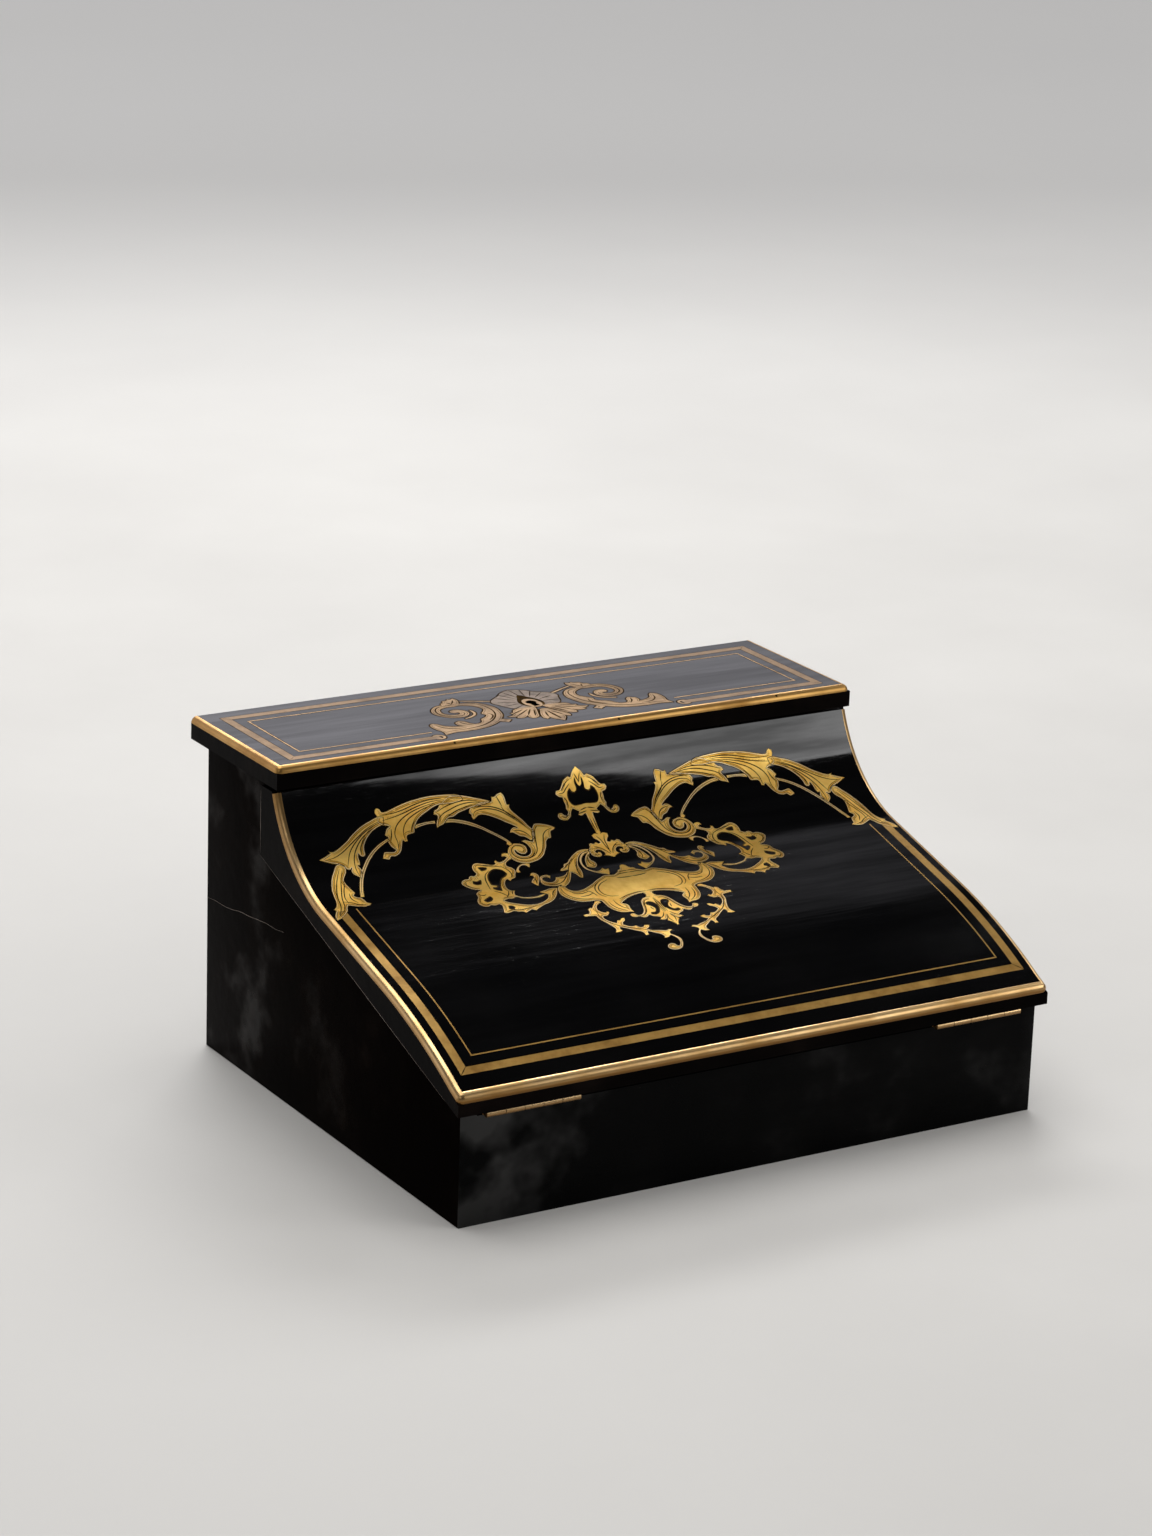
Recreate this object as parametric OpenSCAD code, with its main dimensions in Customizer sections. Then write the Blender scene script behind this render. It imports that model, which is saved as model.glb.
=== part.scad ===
// Slope-front writing box with a flat lid, a serpentine flap hinged at its foot,
// brass line and scroll marquetry, and an ink compartment under the lid.
// X runs across the box, Y runs from front to back and Z is up.
// The origin is the centre of the carcass underside.

/* [Carcass] */
// Width over the side boards
carcass_w = 340; // [300:1:420]
// Depth from the front face to the back face
carcass_d = 270; // [250:1:310]
// Height of the side boards at the back
carcass_h = 166.6; // [155:0.2:190]
// Thickness of the side boards
side_t = 9; // [7:0.5:12]
// Thickness of the front board
front_t = 10; // [9:0.5:14]
// Thickness of the back board
back_t = 9; // [8:0.5:12]
// Thickness of the bottom board
bottom_t = 7; // [5:0.5:10]
// Thickness of the lining sheet in the paper well
lining_t = 1; // [0.6:0.2:2]

/* [Lid] */
// Thickness of the lid with its veneer
lid_t = 12; // [11:0.5:16]
// Depth of the lid from its front edge to its back edge
lid_d = 97; // [85:1:110]
// Reach of the lid behind the back board
lid_back = 12; // [8:0.5:14]
// Reach of the lid and of the flap past each side board
overhang = 4; // [3:0.5:7]
// Gap between the carcass and the closed lid
lid_gap = 0.4; // [0.3:0.1:1]
// Distance of the keyhole behind the lid's front edge
keyhole_y = 45; // [40:1:52]

/* [Flap] */
// Height of the flap hinge axis above the underside
hinge_z = 58; // [50:0.5:66]
// Distance of the flap hinge axis in front of the carcass
hinge_out = 2.5; // [2.3:0.1:3]
// Reach of the flap's lip in front of the carcass
lip_out = 4.5; // [4:0.1:4.8]
// Height of the lip's top corner above the hinge axis
lip_rise = 11.5; // [9:0.5:14]
// Height of the upright stretch at the back of the flap
heel_h = 37.4; // [32:0.2:42]
// Thickness of the flap at its top edge
flap_top_t = 15.4; // [14:0.2:20]
// Set-back of the flap's top edge behind the lid's front edge
lid_lip = 1.9; // [1:0.1:4]
// Gap between the flap's top edge and the closed lid
top_gap = 2; // [1:0.2:4]
// Radius of the hollow curve below the lid
cove_r = 75; // [65:1:85]
// Slope of the hollow curve at the top edge, in degrees
cove_top = 70; // [62:1:78]
// Radius of the round curve above the lip
belly_r = 302; // [270:1:340]
// How much flatter than the flap's back the straight stretch lies, in degrees
sweep_ease = 3.7; // [2.5:0.1:4.5]
// Gap between the closed flap and the carcass
rim_gap = 0.5; // [0.3:0.1:1]
// Thickness of the writing leather
leather_t = 1.2; // [0.8:0.1:2]
// Width of the wooden border round the writing leather
leather_border = 20; // [15:1:35]

/* [Brass work] */
// Thickness of the marquetry sheet
veneer_t = 1.2; // [0.8:0.1:2]
// Thickness of the glue line under the flap's marquetry sheet
glue_t = 0.05; // [0.02:0.01:0.1]
// Radius of the brass edge beads
bead_r = 3.4; // [2.5:0.1:4]
// Width of the wide brass line
wide_line = 4.9; // [3:0.1:7]
// Width of the thin brass line
thin_line = 1.2; // [0.8:0.1:2]
// Black strip between the two lines
line_gap = 5.5; // [4:0.1:8]
// Size of one unit of the marquetry's drawing
motif = 1; // [0.8:0.01:1.15]
// Margin from the flap's sides to the wide line
flap_margin = 7.75; // [6:0.25:12]
// Margin from the lip's corner to the wide line
lip_margin = 13; // [10:0.5:16]
// Margin from the lid's sides to the wide line
lid_margin_x = 12; // [8:0.5:16]
// Margin from the lid's front and back edges to the wide line
lid_margin_y = 9; // [7:0.5:12]

/* [Hinges] */
// Length of each flap hinge
flap_hinge_len = 52.5; // [40:0.5:60]
// Distance of each flap hinge's middle from the side of the box
flap_hinge_in = 38.5; // [32:0.5:80]
// Length of each lid hinge
lid_hinge_len = 50; // [40:0.5:60]
// Distance of each lid hinge's middle from the side of the box
lid_hinge_in = 65; // [40:0.5:90]
// Thickness of a hinge leaf
leaf_t = 1.5; // [1.2:0.1:1.8]
// Gap between the two closed leaves
leaf_gap = 1; // [0.8:0.1:1.4]
// Radius of the hinge knuckles
knuckle_r = 1.8; // [1.6:0.1:1.9]
// Radius of the hinge pins
pin_r = 0.9; // [0.7:0.05:1]
// Running clearance of a knuckle on its pin
pin_clear = 0.05; // [0.03:0.01:0.1]
// Radius of a screw's shank
screw_r = 1.1; // [0.9:0.1:1.3]
// Length of a screw
screw_l = 8; // [6:0.5:8]

/* [Lock] */
// Width of the lock case
lock_w = 44; // [36:1:60]
// Depth of the lock case, front to back
lock_d = 38; // [34:1:44]
// Height of the lock case
lock_h = 12; // [10:0.5:14]
// Width of the bolt
bolt_w = 20; // [14:1:26]
// Thickness of the bolt
bolt_t = 4; // [3:0.5:5]
// Travel of the bolt
bolt_travel = 5.5; // [4:0.5:6]
// Clearance round the bolt
bolt_clear = 0.3; // [0.2:0.1:0.5]
// Gap between the lock case and the flap
lock_gap = 1.5; // [1.2:0.1:2.5]

/* [Ink compartment] */
// Height of the ink shelf's top face
shelf_z = 84; // [76:1:90]
// Thickness of the ink shelf and of the walls round it
shelf_t = 6; // [5:0.5:8]
// Gap between the lock case and the top of the ink compartment's front wall
ink_drop = 9.4; // [4:0.2:20]
// Gap at each side of an inkwell
well_side = 6.25; // [3:0.25:12]
// Height of the pen tray
tray_h = 20; // [16:1:24]
// Radius of the hollow in the pen tray
tray_r = 20; // [17:1:21]
// Width of the square inkwell
well_w = 40; // [34:1:42]
// Height of the glass inkwell without its neck
well_h = 36; // [30:1:40]
// Radius of the inkwell's bore
well_bore_r = 13; // [10:0.5:14]
// Radius of the inkwell's cap
cap_r = 17; // [16:0.5:18]
// Height of the inkwell's cap
cap_h = 6; // [5:0.5:7]

/* [Hidden] */
$fn = 96;

ebony = [0.03, 0.03, 0.03];
rosewood = [0.33, 0.16, 0.09];
brass = [0.78, 0.58, 0.24];
glass = [0.75, 0.85, 0.83, 0.5];
leather = [0.25, 0.07, 0.05];
lining = [0.35, 0.12, 0.16];
steel = [0.6, 0.6, 0.58];

// Spare length by which a cut passes the face it opens
cut = 1;
inner_w = carcass_w - 2 * side_t;
inner_back = carcass_d - back_t;
flap_hinge_x = carcass_w / 2 - flap_hinge_in;
lid_hinge_x = carcass_w / 2 - lid_hinge_in;
wide_w = carcass_w + 2 * overhang;
lid_z = carcass_h + lid_gap;
lid_top = lid_z + lid_t;
lid_end = carcass_d + lid_back;
lid_front = lid_end - lid_d;

// The flap's back is a plane that slopes up from the hinge, then an upright heel.
half_gap = leaf_gap / 2 + leaf_t;
top_y = lid_front + lid_lip;
top_z = lid_z - top_gap;
heel_y = top_y + flap_top_t;
heel_z = top_z - heel_h;
axis = [-hinge_out, hinge_z];
heel_reach = norm([heel_y, heel_z] - axis);
slope = atan2(heel_z - axis.y, heel_y - axis.x) - asin(half_gap / heel_reach);

// The flap's face is a hollow curve, a straight sweep and a round curve, each tangent to the next.
function along(a) = [cos(a), sin(a)];
function across(a) = [-sin(a), cos(a)];
function arc_len(r, a) = r * a * PI / 180;
function arc_deg(r, l) = l / r * 180 / PI;
sweep = slope - sweep_ease;
lip = [-lip_out, hinge_z + lip_rise];
cove_c = [top_y, top_z] + cove_r * across(cove_top);
sweep_top = cove_c - cove_r * across(sweep);
span = sweep_top - lip + belly_r * [sin(sweep), -cos(sweep)];
belly_end = sweep + acos((span.x * sin(sweep) - span.y * cos(sweep)) / belly_r);
sweep_len = (span.x - belly_r * sin(belly_end)) / cos(sweep);
sweep_foot = sweep_top - sweep_len * along(sweep);
belly_c = sweep_foot - belly_r * across(sweep);
cove_len = arc_len(cove_r, cove_top - sweep);
belly_at = cove_len + sweep_len;
face_len = belly_at + arc_len(belly_r, belly_end - sweep);

// Point of the flap's face, as [y, z], at a length t down from the top edge
function face_point(t) =
  t < cove_len ? cove_c - cove_r * across(cove_top - arc_deg(cove_r, t)) :
  t < belly_at ? sweep_top - (t - cove_len) * along(sweep) :
  belly_c + belly_r * across(sweep + arc_deg(belly_r, t - belly_at));
// Slope of the flap's face there, in degrees
function face_slope(t) =
  t < cove_len ? cove_top - arc_deg(cove_r, t) :
  t < belly_at ? sweep :
  sweep + arc_deg(belly_r, t - belly_at);
// Height of a plane parallel to the flap's back, n above the hinge axis
function slope_z(y, n) = axis.y + (y - axis.x) * tan(slope) + n / cos(slope);

// Everything is drawn from the carcass front and then centred on the origin.
module placed() {
  translate([0, -carcass_d / 2, 0]) children();
}

// A [y, z] outline drawn out along X
module yz(width, x = 0) {
  translate([x, 0, 0]) rotate([90, 0, 90]) linear_extrude(width, center = true) children();
}

module block(x, y, z) {
  translate([x[0], y[0], z[0]]) cube([x[1] - x[0], y[1] - y[0], z[1] - z[0]]);
}

module both_sides() {
  children();
  mirror([1, 0, 0]) children();
}

// A section of [x across, height above the face] carried along the flap's face
module along_face(t0, t1) {
  if (t0 < cove_len) {
    low = cove_top - arc_deg(cove_r, min(t1, cove_len));
    translate([0, cove_c.x, cove_c.y]) rotate([90, 0, 90]) rotate(low - 90)
      rotate_extrude(angle = cove_top - arc_deg(cove_r, t0) - low, $fn = 180)
        translate([cove_r, 0]) rotate(90) children();
  }
  if (t1 > cove_len && t0 < belly_at) {
    start = max(t0, cove_len);
    at = face_point(start);
    translate([0, at.x, at.y]) rotate([sweep, 0, 0]) rotate([90, 0, 0])
      linear_extrude(min(t1, belly_at) - start) children();
  }
  if (t1 > belly_at) {
    high = sweep + arc_deg(belly_r, max(t0, belly_at) - belly_at);
    translate([0, belly_c.x, belly_c.y]) rotate([90, 0, 90]) rotate(high + 90)
      rotate_extrude(angle = sweep + arc_deg(belly_r, t1 - belly_at) - high, $fn = 360)
        translate([belly_r, 0]) mirror([1, 0]) rotate(90) children();
  }
}

// The space between the lip's front and the flap's top edge
module flap_room() {
  intersection() {
    children();
    block([-wide_w, wide_w], [-lip_out, heel_y], [0, top_z]);
  }
}

// Outline under the flap's face, d below it. The straight stretch is tilted by a hair, so that
// it crosses both curves just past the places where it would touch them.
face_tilt = 0.002;
face_lap = 2;
module under_face(d) {
  low = sweep_foot - (d + face_tilt) * across(sweep);
  high = sweep_top - (d - face_tilt) * across(sweep) + face_lap * along(sweep);
  intersection() {
    translate(belly_c) circle(belly_r - d, $fn = 360);
    translate([-lip_out, 0]) square([low.x + face_lap + lip_out, top_z]);
  }
  polygon([[low.x, 0], [high.x, 0], high, low]);
  behind = high.x - face_lap;
  difference() {
    polygon([[behind, 0], [heel_y, 0], [heel_y, top_z], [behind, top_z]]);
    translate(cove_c) circle(cove_r + d, $fn = 180);
  }
}

// Everything above the outline d below the flap's face
module over_face(d) {
  difference() {
    translate([-lip_out - cut, hinge_z]) square([heel_y + lip_out + 2 * cut, top_z]);
    under_face(d);
  }
}

module face_sheet(width) {
  yz(width) difference() {
    under_face(0);
    under_face(veneer_t);
  }
}

// A strip square to the face, between two lengths down from the top edge
strip_reach = 20;
module face_strip(from, to) {
  polygon([for (q = [[from, 1], [from, -1], [to, -1], [to, 1]])
    face_point(q[0]) + q[1] * strip_reach * across(face_slope(q[0]))]);
}

module flap_outline() {
  foot = [-lip_out, slope_z(-lip_out, half_gap)];
  intersection() {
    under_face(veneer_t + glue_t);
    polygon([foot, [heel_y, heel_z], [heel_y, top_z], [-lip_out, top_z]]);
  }
}

// Corner of the lip where the front bead sits: on the face, inside, and on the front
lip_on_face = lip + bead_r * along(belly_end);
lip_on_front = lip - [0, bead_r];
lip_inside = lip_on_face - [0, bead_r];

// Frames for the two hinge lines: Y runs along the leaves and Z away from the carcass
module at_flap_hinge() {
  translate([0, axis.x, axis.y]) rotate([slope, 0, 0]) children();
}
// Gap between a knuckle and the board beside it
knuckle_off = 0.2;
lid_axis = [carcass_d + knuckle_r + knuckle_off, carcass_h + lid_gap / 2];
module at_lid_hinge() {
  translate([0, lid_axis.x, lid_axis.y]) mirror([0, 1, 0]) children();
}

// Gap between two knuckles, and between a knuckle and the other leaf
knuckle_gap = 0.3;
leaf_start = knuckle_r + knuckle_gap;
tab_t = leaf_t - knuckle_gap;
flap_leaf_w = 12;
lid_leaf_w = back_t + knuckle_r;
knuckles = 5;

// Width and depth of the slot in a screw's head
screw_slot = 0.5;
module screw() {
  head_r = 2 * screw_r;
  difference() {
    union() {
      translate([0, 0, -screw_r]) cylinder(h = screw_r, r1 = screw_r, r2 = head_r);
      translate([0, 0, -screw_l]) cylinder(h = screw_l, r = screw_r);
    }
    translate([-head_r, -screw_slot / 2, -screw_slot]) cube([2 * head_r, screw_slot, screw_slot + cut]);
  }
}

module screw_hole() {
  translate([0, 0, -screw_r]) cylinder(h = screw_r, r1 = screw_r, r2 = 2 * screw_r);
  translate([0, 0, -screw_l]) cylinder(h = screw_l, r = screw_r);
}

// Places of the three screws in one leaf, on the upper or the lower side
module leaf_screws(len, width, upper) {
  for (x = [-len / 3, 0, len / 3])
    translate([x, (leaf_start + width) / 2, 0]) mirror([0, 0, upper ? 1 : 0])
      translate([0, 0, -leaf_gap / 2]) children();
}

module hinge_leaf(len, width, upper) {
  pitch = len / knuckles;
  side = upper ? 0 : 1;
  difference() {
    union() {
      mirror([0, 0, side]) block([-len / 2, len / 2], [leaf_start, width], [leaf_gap / 2, half_gap]);
      for (i = [1 - side : 2 : knuckles - 1]) {
        x = -len / 2 + i * pitch + knuckle_gap / 2;
        long = pitch - knuckle_gap;
        translate([x, 0, 0]) rotate([0, 90, 0]) cylinder(h = long, r = knuckle_r);
        mirror([0, 0, side])
          block([x, x + long], [0, leaf_start], [leaf_gap / 2, leaf_gap / 2 + tab_t]);
      }
    }
    translate([-len / 2 - cut, 0, 0]) rotate([0, 90, 0])
      cylinder(h = len + 2 * cut, r = upper ? pin_r + pin_clear : pin_r);
    leaf_screws(len, width, upper) screw_hole();
  }
}

module hinge_pin(len) {
  translate([-len / 2, 0, 0]) rotate([0, 90, 0]) cylinder(h = len, r = pin_r);
}

// Carcass
module side_board(x) {
  rim = half_gap - rim_gap;
  step = heel_y + rim_gap;
  placed() yz(side_t, x) polygon([
    [0, 0], [carcass_d, 0], [carcass_d, carcass_h], [step, carcass_h],
    [step, slope_z(step, rim)], [0, slope_z(0, rim)]
  ]);
}

module left_side() {
  color(ebony) side_board(-(carcass_w - side_t) / 2);
}

module right_side() {
  color(ebony) side_board((carcass_w - side_t) / 2);
}

module front_board() {
  color(ebony) placed() difference() {
    yz(inner_w) polygon([
      [0, 0], [front_t, 0], [front_t, slope_z(front_t, -half_gap)], [0, slope_z(0, -half_gap)]
    ]);
    both_sides() translate([flap_hinge_x, 0, 0]) at_flap_hinge()
      leaf_screws(flap_hinge_len, flap_leaf_w, false) screw_hole();
  }
}

module back_board() {
  color(ebony) placed() difference() {
    block([-inner_w / 2, inner_w / 2], [inner_back, carcass_d], [0, carcass_h]);
    both_sides() translate([lid_hinge_x, 0, 0]) at_lid_hinge() {
      block([-lid_hinge_len / 2, lid_hinge_len / 2], [0, lid_leaf_w], [-half_gap, cut]);
      leaf_screws(lid_hinge_len, lid_leaf_w, false) screw_hole();
    }
  }
}

module bottom_board() {
  color(ebony) placed() block([-inner_w / 2, inner_w / 2], [front_t, inner_back], [0, bottom_t]);
}

module well_lining() {
  color(lining) placed()
    block([-inner_w / 2, inner_w / 2], [front_t, inner_back], [bottom_t, bottom_t + lining_t]);
}

// Ink compartment
// Gap between the flap's heel and the ink compartment
heel_gap = 0.7;
ink_y = heel_y + heel_gap;
cell_y = ink_y + shelf_t;
cleat = 6;
module shelf_cleats() {
  color(rosewood) placed() both_sides()
    block([inner_w / 2 - cleat, inner_w / 2], [cell_y, inner_back],
      [shelf_z - shelf_t - cleat, shelf_z - shelf_t]);
}

module ink_shelf() {
  color(rosewood) placed()
    block([-inner_w / 2, inner_w / 2], [cell_y, inner_back], [shelf_z - shelf_t, shelf_z]);
}

module ink_front() {
  color(rosewood) placed() block(
    [-inner_w / 2, inner_w / 2], [ink_y, cell_y], [shelf_z - shelf_t, case_z - lock_h - ink_drop]);
}

divider_t = 5;
divider_x = inner_w / 2 - well_w - 2 * well_side - divider_t / 2;
module divider(x) {
  color(rosewood) placed() block(
    [x - divider_t / 2, x + divider_t / 2], [cell_y, inner_back], [shelf_z, shelf_z + well_h]);
}

module left_divider() {
  divider(-divider_x);
}

module right_divider() {
  divider(divider_x);
}

tray_half = divider_x - divider_t / 2;
tray_end = 8;
tray_floor = 4;
module pen_tray() {
  middle = (cell_y + inner_back) / 2;
  color(rosewood) placed() difference() {
    block([-tray_half, tray_half], [cell_y, inner_back], [shelf_z, shelf_z + tray_h]);
    translate([-tray_half + tray_end, middle, shelf_z + tray_r + tray_floor]) rotate([0, 90, 0])
      cylinder(h = 2 * (tray_half - tray_end), r = tray_r);
  }
}

// Inkwell: a square glass with a round neck, a brass collar and a hinged cap
well_x = (divider_x + divider_t / 2 + inner_w / 2) / 2;
// Gap in front of an inkwell, for the fingers
well_front = 2;
well_y = cell_y + well_w / 2 + well_front;
well_floor = 5;
neck_h = 4;
collar_t = 1.5;
neck_r = cap_r - collar_t;
neck_z = shelf_z + well_h;
cap_gap = 0.3;
cap_z = neck_z + neck_h + cap_gap;
cap_axis_out = 2.2;
cap_axis_y = well_y + cap_r + cap_axis_out;
cap_axis_z = cap_z;
cap_knuckle_r = 1.8;
cap_knuckle_l = 10;
lug_l = 3;
lug_gap = 0.3;
module inkwell(x) {
  color(glass) placed() translate([x, well_y, 0]) difference() {
    union() {
      block([-well_w / 2, well_w / 2], [-well_w / 2, well_w / 2], [shelf_z, neck_z]);
      translate([0, 0, neck_z]) cylinder(h = neck_h, r = neck_r);
    }
    translate([0, 0, shelf_z + well_floor]) cylinder(h = well_h + neck_h, r = well_bore_r);
  }
}

module left_inkwell() {
  inkwell(-well_x);
}

module right_inkwell() {
  inkwell(well_x);
}

module ink_collar(x) {
  lug_x = cap_knuckle_l / 2 + lug_gap;
  color(brass) placed() translate([x, 0, 0]) difference() {
    union() {
      translate([0, well_y, neck_z]) cylinder(h = neck_h, r = cap_r);
      for (s = [0, 1]) mirror([s, 0, 0]) {
        translate([lug_x, cap_axis_y, cap_axis_z]) rotate([0, 90, 0])
          cylinder(h = lug_l, r = cap_knuckle_r);
        block([lug_x, lug_x + lug_l], [well_y, cap_axis_y], [neck_z + 1, neck_z + neck_h]);
      }
    }
    translate([0, well_y, neck_z - cut]) cylinder(h = neck_h + 2 * cut, r = neck_r);
    translate([-lug_x - lug_l - cut, cap_axis_y, cap_axis_z]) rotate([0, 90, 0])
      cylinder(h = 2 * (lug_x + lug_l + cut), r = pin_r);
  }
}

module left_ink_collar() {
  ink_collar(-well_x);
}

module right_ink_collar() {
  ink_collar(well_x);
}

module ink_cap_pins() {
  color(brass) placed() both_sides() translate([well_x, cap_axis_y, cap_axis_z])
    hinge_pin(cap_knuckle_l + 2 * (lug_l + lug_gap));
}

module ink_cap(x) {
  crown = cap_r * 1.6;
  color(brass) placed() translate([x, 0, 0]) difference() {
    union() {
      intersection() {
        translate([0, well_y, cap_z]) cylinder(h = cap_h, r = cap_r);
        translate([0, well_y, cap_z + cap_h - crown]) sphere(crown);
      }
      translate([-cap_knuckle_l / 2, cap_axis_y, cap_axis_z]) rotate([0, 90, 0])
        cylinder(h = cap_knuckle_l, r = cap_knuckle_r);
      block([-cap_knuckle_l / 2, cap_knuckle_l / 2], [well_y + cap_r / 2, cap_axis_y],
        [cap_z, cap_z + cap_knuckle_r]);
    }
    translate([-cap_knuckle_l, cap_axis_y, cap_axis_z]) rotate([0, 90, 0])
      cylinder(h = 2 * cap_knuckle_l, r = pin_r + pin_clear);
  }
}

module left_ink_cap() {
  ink_cap(-well_x);
}

module right_ink_cap() {
  ink_cap(well_x);
}

// Hinges, each leaf with its knuckles, and the screws that hold them
module flap_hinge(x, upper) {
  color(brass) placed() translate([x, 0, 0]) at_flap_hinge() hinge_leaf(flap_hinge_len, flap_leaf_w, upper);
}

module lid_hinge(x, upper) {
  color(brass) placed() translate([x, 0, 0]) at_lid_hinge() hinge_leaf(lid_hinge_len, lid_leaf_w, upper);
}

module left_flap_hinge_lower() {
  flap_hinge(-flap_hinge_x, false);
}

module right_flap_hinge_lower() {
  flap_hinge(flap_hinge_x, false);
}

module left_flap_hinge_upper() {
  flap_hinge(-flap_hinge_x, true);
}

module right_flap_hinge_upper() {
  flap_hinge(flap_hinge_x, true);
}

module left_lid_hinge_lower() {
  lid_hinge(-lid_hinge_x, false);
}

module right_lid_hinge_lower() {
  lid_hinge(lid_hinge_x, false);
}

module left_lid_hinge_upper() {
  lid_hinge(-lid_hinge_x, true);
}

module right_lid_hinge_upper() {
  lid_hinge(lid_hinge_x, true);
}

module flap_hinge_pins() {
  color(brass) placed() both_sides() translate([flap_hinge_x, 0, 0]) at_flap_hinge()
    hinge_pin(flap_hinge_len);
}

module lid_hinge_pins() {
  color(brass) placed() both_sides() translate([lid_hinge_x, 0, 0]) at_lid_hinge()
    hinge_pin(lid_hinge_len);
}

module carcass_screws() {
  color(brass) placed() both_sides() {
    translate([flap_hinge_x, 0, 0]) at_flap_hinge()
      leaf_screws(flap_hinge_len, flap_leaf_w, false) screw();
    translate([lid_hinge_x, 0, 0]) at_lid_hinge()
      leaf_screws(lid_hinge_len, lid_leaf_w, false) screw();
  }
}

module lid_screws() {
  color(brass) placed() both_sides() translate([lid_hinge_x, 0, 0]) at_lid_hinge()
    leaf_screws(lid_hinge_len, lid_leaf_w, true) screw();
}

module flap_screws() {
  color(brass) placed() both_sides() translate([flap_hinge_x, 0, 0]) at_flap_hinge()
    leaf_screws(flap_hinge_len, flap_leaf_w, true) screw();
}

// Lid
lid_half = wide_w / 2;
knuckle_room = 0.4;
keyhole_r = 3;
keyhole_slot = 3.6;
keyhole_l = 7;
rim_t = 0.9;
module keyhole_outline(grow) {
  circle(keyhole_r + grow);
  translate([-keyhole_slot / 2 - grow, -keyhole_l - grow]) square([keyhole_slot + 2 * grow, keyhole_l]);
}

module at_keyhole() {
  translate([0, lid_front + keyhole_y, 0]) children();
}

module lid_board() {
  color(ebony) placed() difference() {
    block([-lid_half, lid_half], [lid_front, lid_end], [lid_z, lid_top - veneer_t]);
    for (s = [0, 1]) mirror([s, 0, 0])
      block([lid_half - bead_r, lid_half + cut], [lid_front - cut, lid_end + cut],
        [lid_top - bead_r, lid_top]);
    block([-lid_half - cut, lid_half + cut], [lid_front - cut, lid_front + bead_r],
      [lid_top - bead_r, lid_top]);
    both_sides() translate([lid_hinge_x, 0, 0]) at_lid_hinge() {
      block([-lid_hinge_len / 2, lid_hinge_len / 2], [0, lid_leaf_w], [0, half_gap]);
      block([-lid_hinge_len / 2 - knuckle_room, lid_hinge_len / 2 + knuckle_room],
        [-knuckle_r - knuckle_room, leaf_start], [0, knuckle_r + knuckle_room]);
      leaf_screws(lid_hinge_len, lid_leaf_w, true) screw_hole();
    }
    at_keyhole() translate([0, 0, lid_z - cut]) linear_extrude(lid_t + 2 * cut) keyhole_outline(0);
    lock_screw_places() screw_hole();
  }
}

// Rectangle on the lid, inset from the marquetry margins
module lid_frame_outline(inset) {
  x = lid_half - lid_margin_x - inset;
  y0 = lid_front + lid_margin_y + inset;
  y1 = lid_end - lid_margin_y - inset;
  translate([-x, y0]) square([2 * x, y1 - y0]);
}

// The break in the lid's front lines, where the scrolls end
lid_break_x = 74 * motif;
module lid_break() {
  translate([-lid_break_x, lid_front]) square([2 * lid_break_x, lid_d / 3]);
}

module lid_wide_outline() {
  difference() {
    lid_frame_outline(0);
    lid_frame_outline(wide_line);
    lid_break();
  }
}

module lid_thin_outline() {
  difference() {
    lid_frame_outline(wide_line + line_gap);
    lid_frame_outline(wide_line + line_gap + thin_line);
    lid_break();
  }
}

// A curved band round c, tapering to its ends, as points in face lengths
function band(c, r, width, from, to, n = 20) = concat(
  [for (i = [0 : n]) let (a = from + (to - from) * i / n) c + r * [cos(a), sin(a)]],
  [for (i = [n : -1 : 0]) let (
    a = from + (to - from) * i / n,
    w = width * (0.3 + 0.7 * sin(180 * i / n))
  ) c + (r - w) * [cos(a), sin(a)]]
);

// Points given as [x, length behind the lid's front edge]
function on_lid(points) = [for (q = points) [q.x * motif, lid_front + q.y * motif]];
// Points given as [x, length down the flap's face], seen from above
function on_face(points) = [for (q = points) [q.x * motif, face_point(q.y * motif).x]];

module lid_scroll_outline() {
  for (s = [0, 1]) mirror([s, 0]) {
    polygon(on_lid(band([45, 46], 12, 6, -60, 200)));
    polygon(on_lid(band([48, 36], 25, 7, 195, 300)));
  }
}

module lid_sheet() {
  translate([0, 0, lid_top - veneer_t]) linear_extrude(veneer_t) children();
}

module lid_veneer() {
  color(ebony) placed() lid_sheet() difference() {
    translate([-lid_half + bead_r, lid_front + bead_r]) square([wide_w - 2 * bead_r, lid_d - bead_r]);
    lid_wide_outline();
    lid_thin_outline();
    lid_scroll_outline();
    at_keyhole() keyhole_outline(rim_t);
  }
}

module lid_wide_line() {
  color(brass) placed() lid_sheet() lid_wide_outline();
}

module lid_thin_line() {
  color(brass) placed() lid_sheet() lid_thin_outline();
}

module lid_scrolls() {
  color(brass) placed() lid_sheet() lid_scroll_outline();
}

module keyhole_rim() {
  color(brass) placed() at_keyhole() lid_sheet() difference() {
    keyhole_outline(rim_t);
    keyhole_outline(0);
  }
}

// Quarter-round bead with its round edge towards +X and +Z
module bead_outline() {
  intersection() {
    circle(bead_r);
    square(bead_r);
  }
}

module lid_side_bead() {
  translate([lid_half - bead_r, lid_end, lid_top - bead_r]) rotate([90, 0, 0])
    linear_extrude(lid_d - bead_r) bead_outline();
}

module lid_left_bead() {
  color(brass) placed() mirror([1, 0, 0]) lid_side_bead();
}

module lid_right_bead() {
  color(brass) placed() lid_side_bead();
}

// The front bead turns both corners as quarter balls.
module lid_front_bead() {
  x = lid_half - bead_r;
  color(brass) placed() translate([0, lid_front + bead_r, lid_top - bead_r]) {
    yz(2 * x) mirror([1, 0]) bead_outline();
    both_sides() translate([x, 0, 0]) rotate(-90) rotate_extrude(angle = 90) bead_outline();
  }
}

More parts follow.
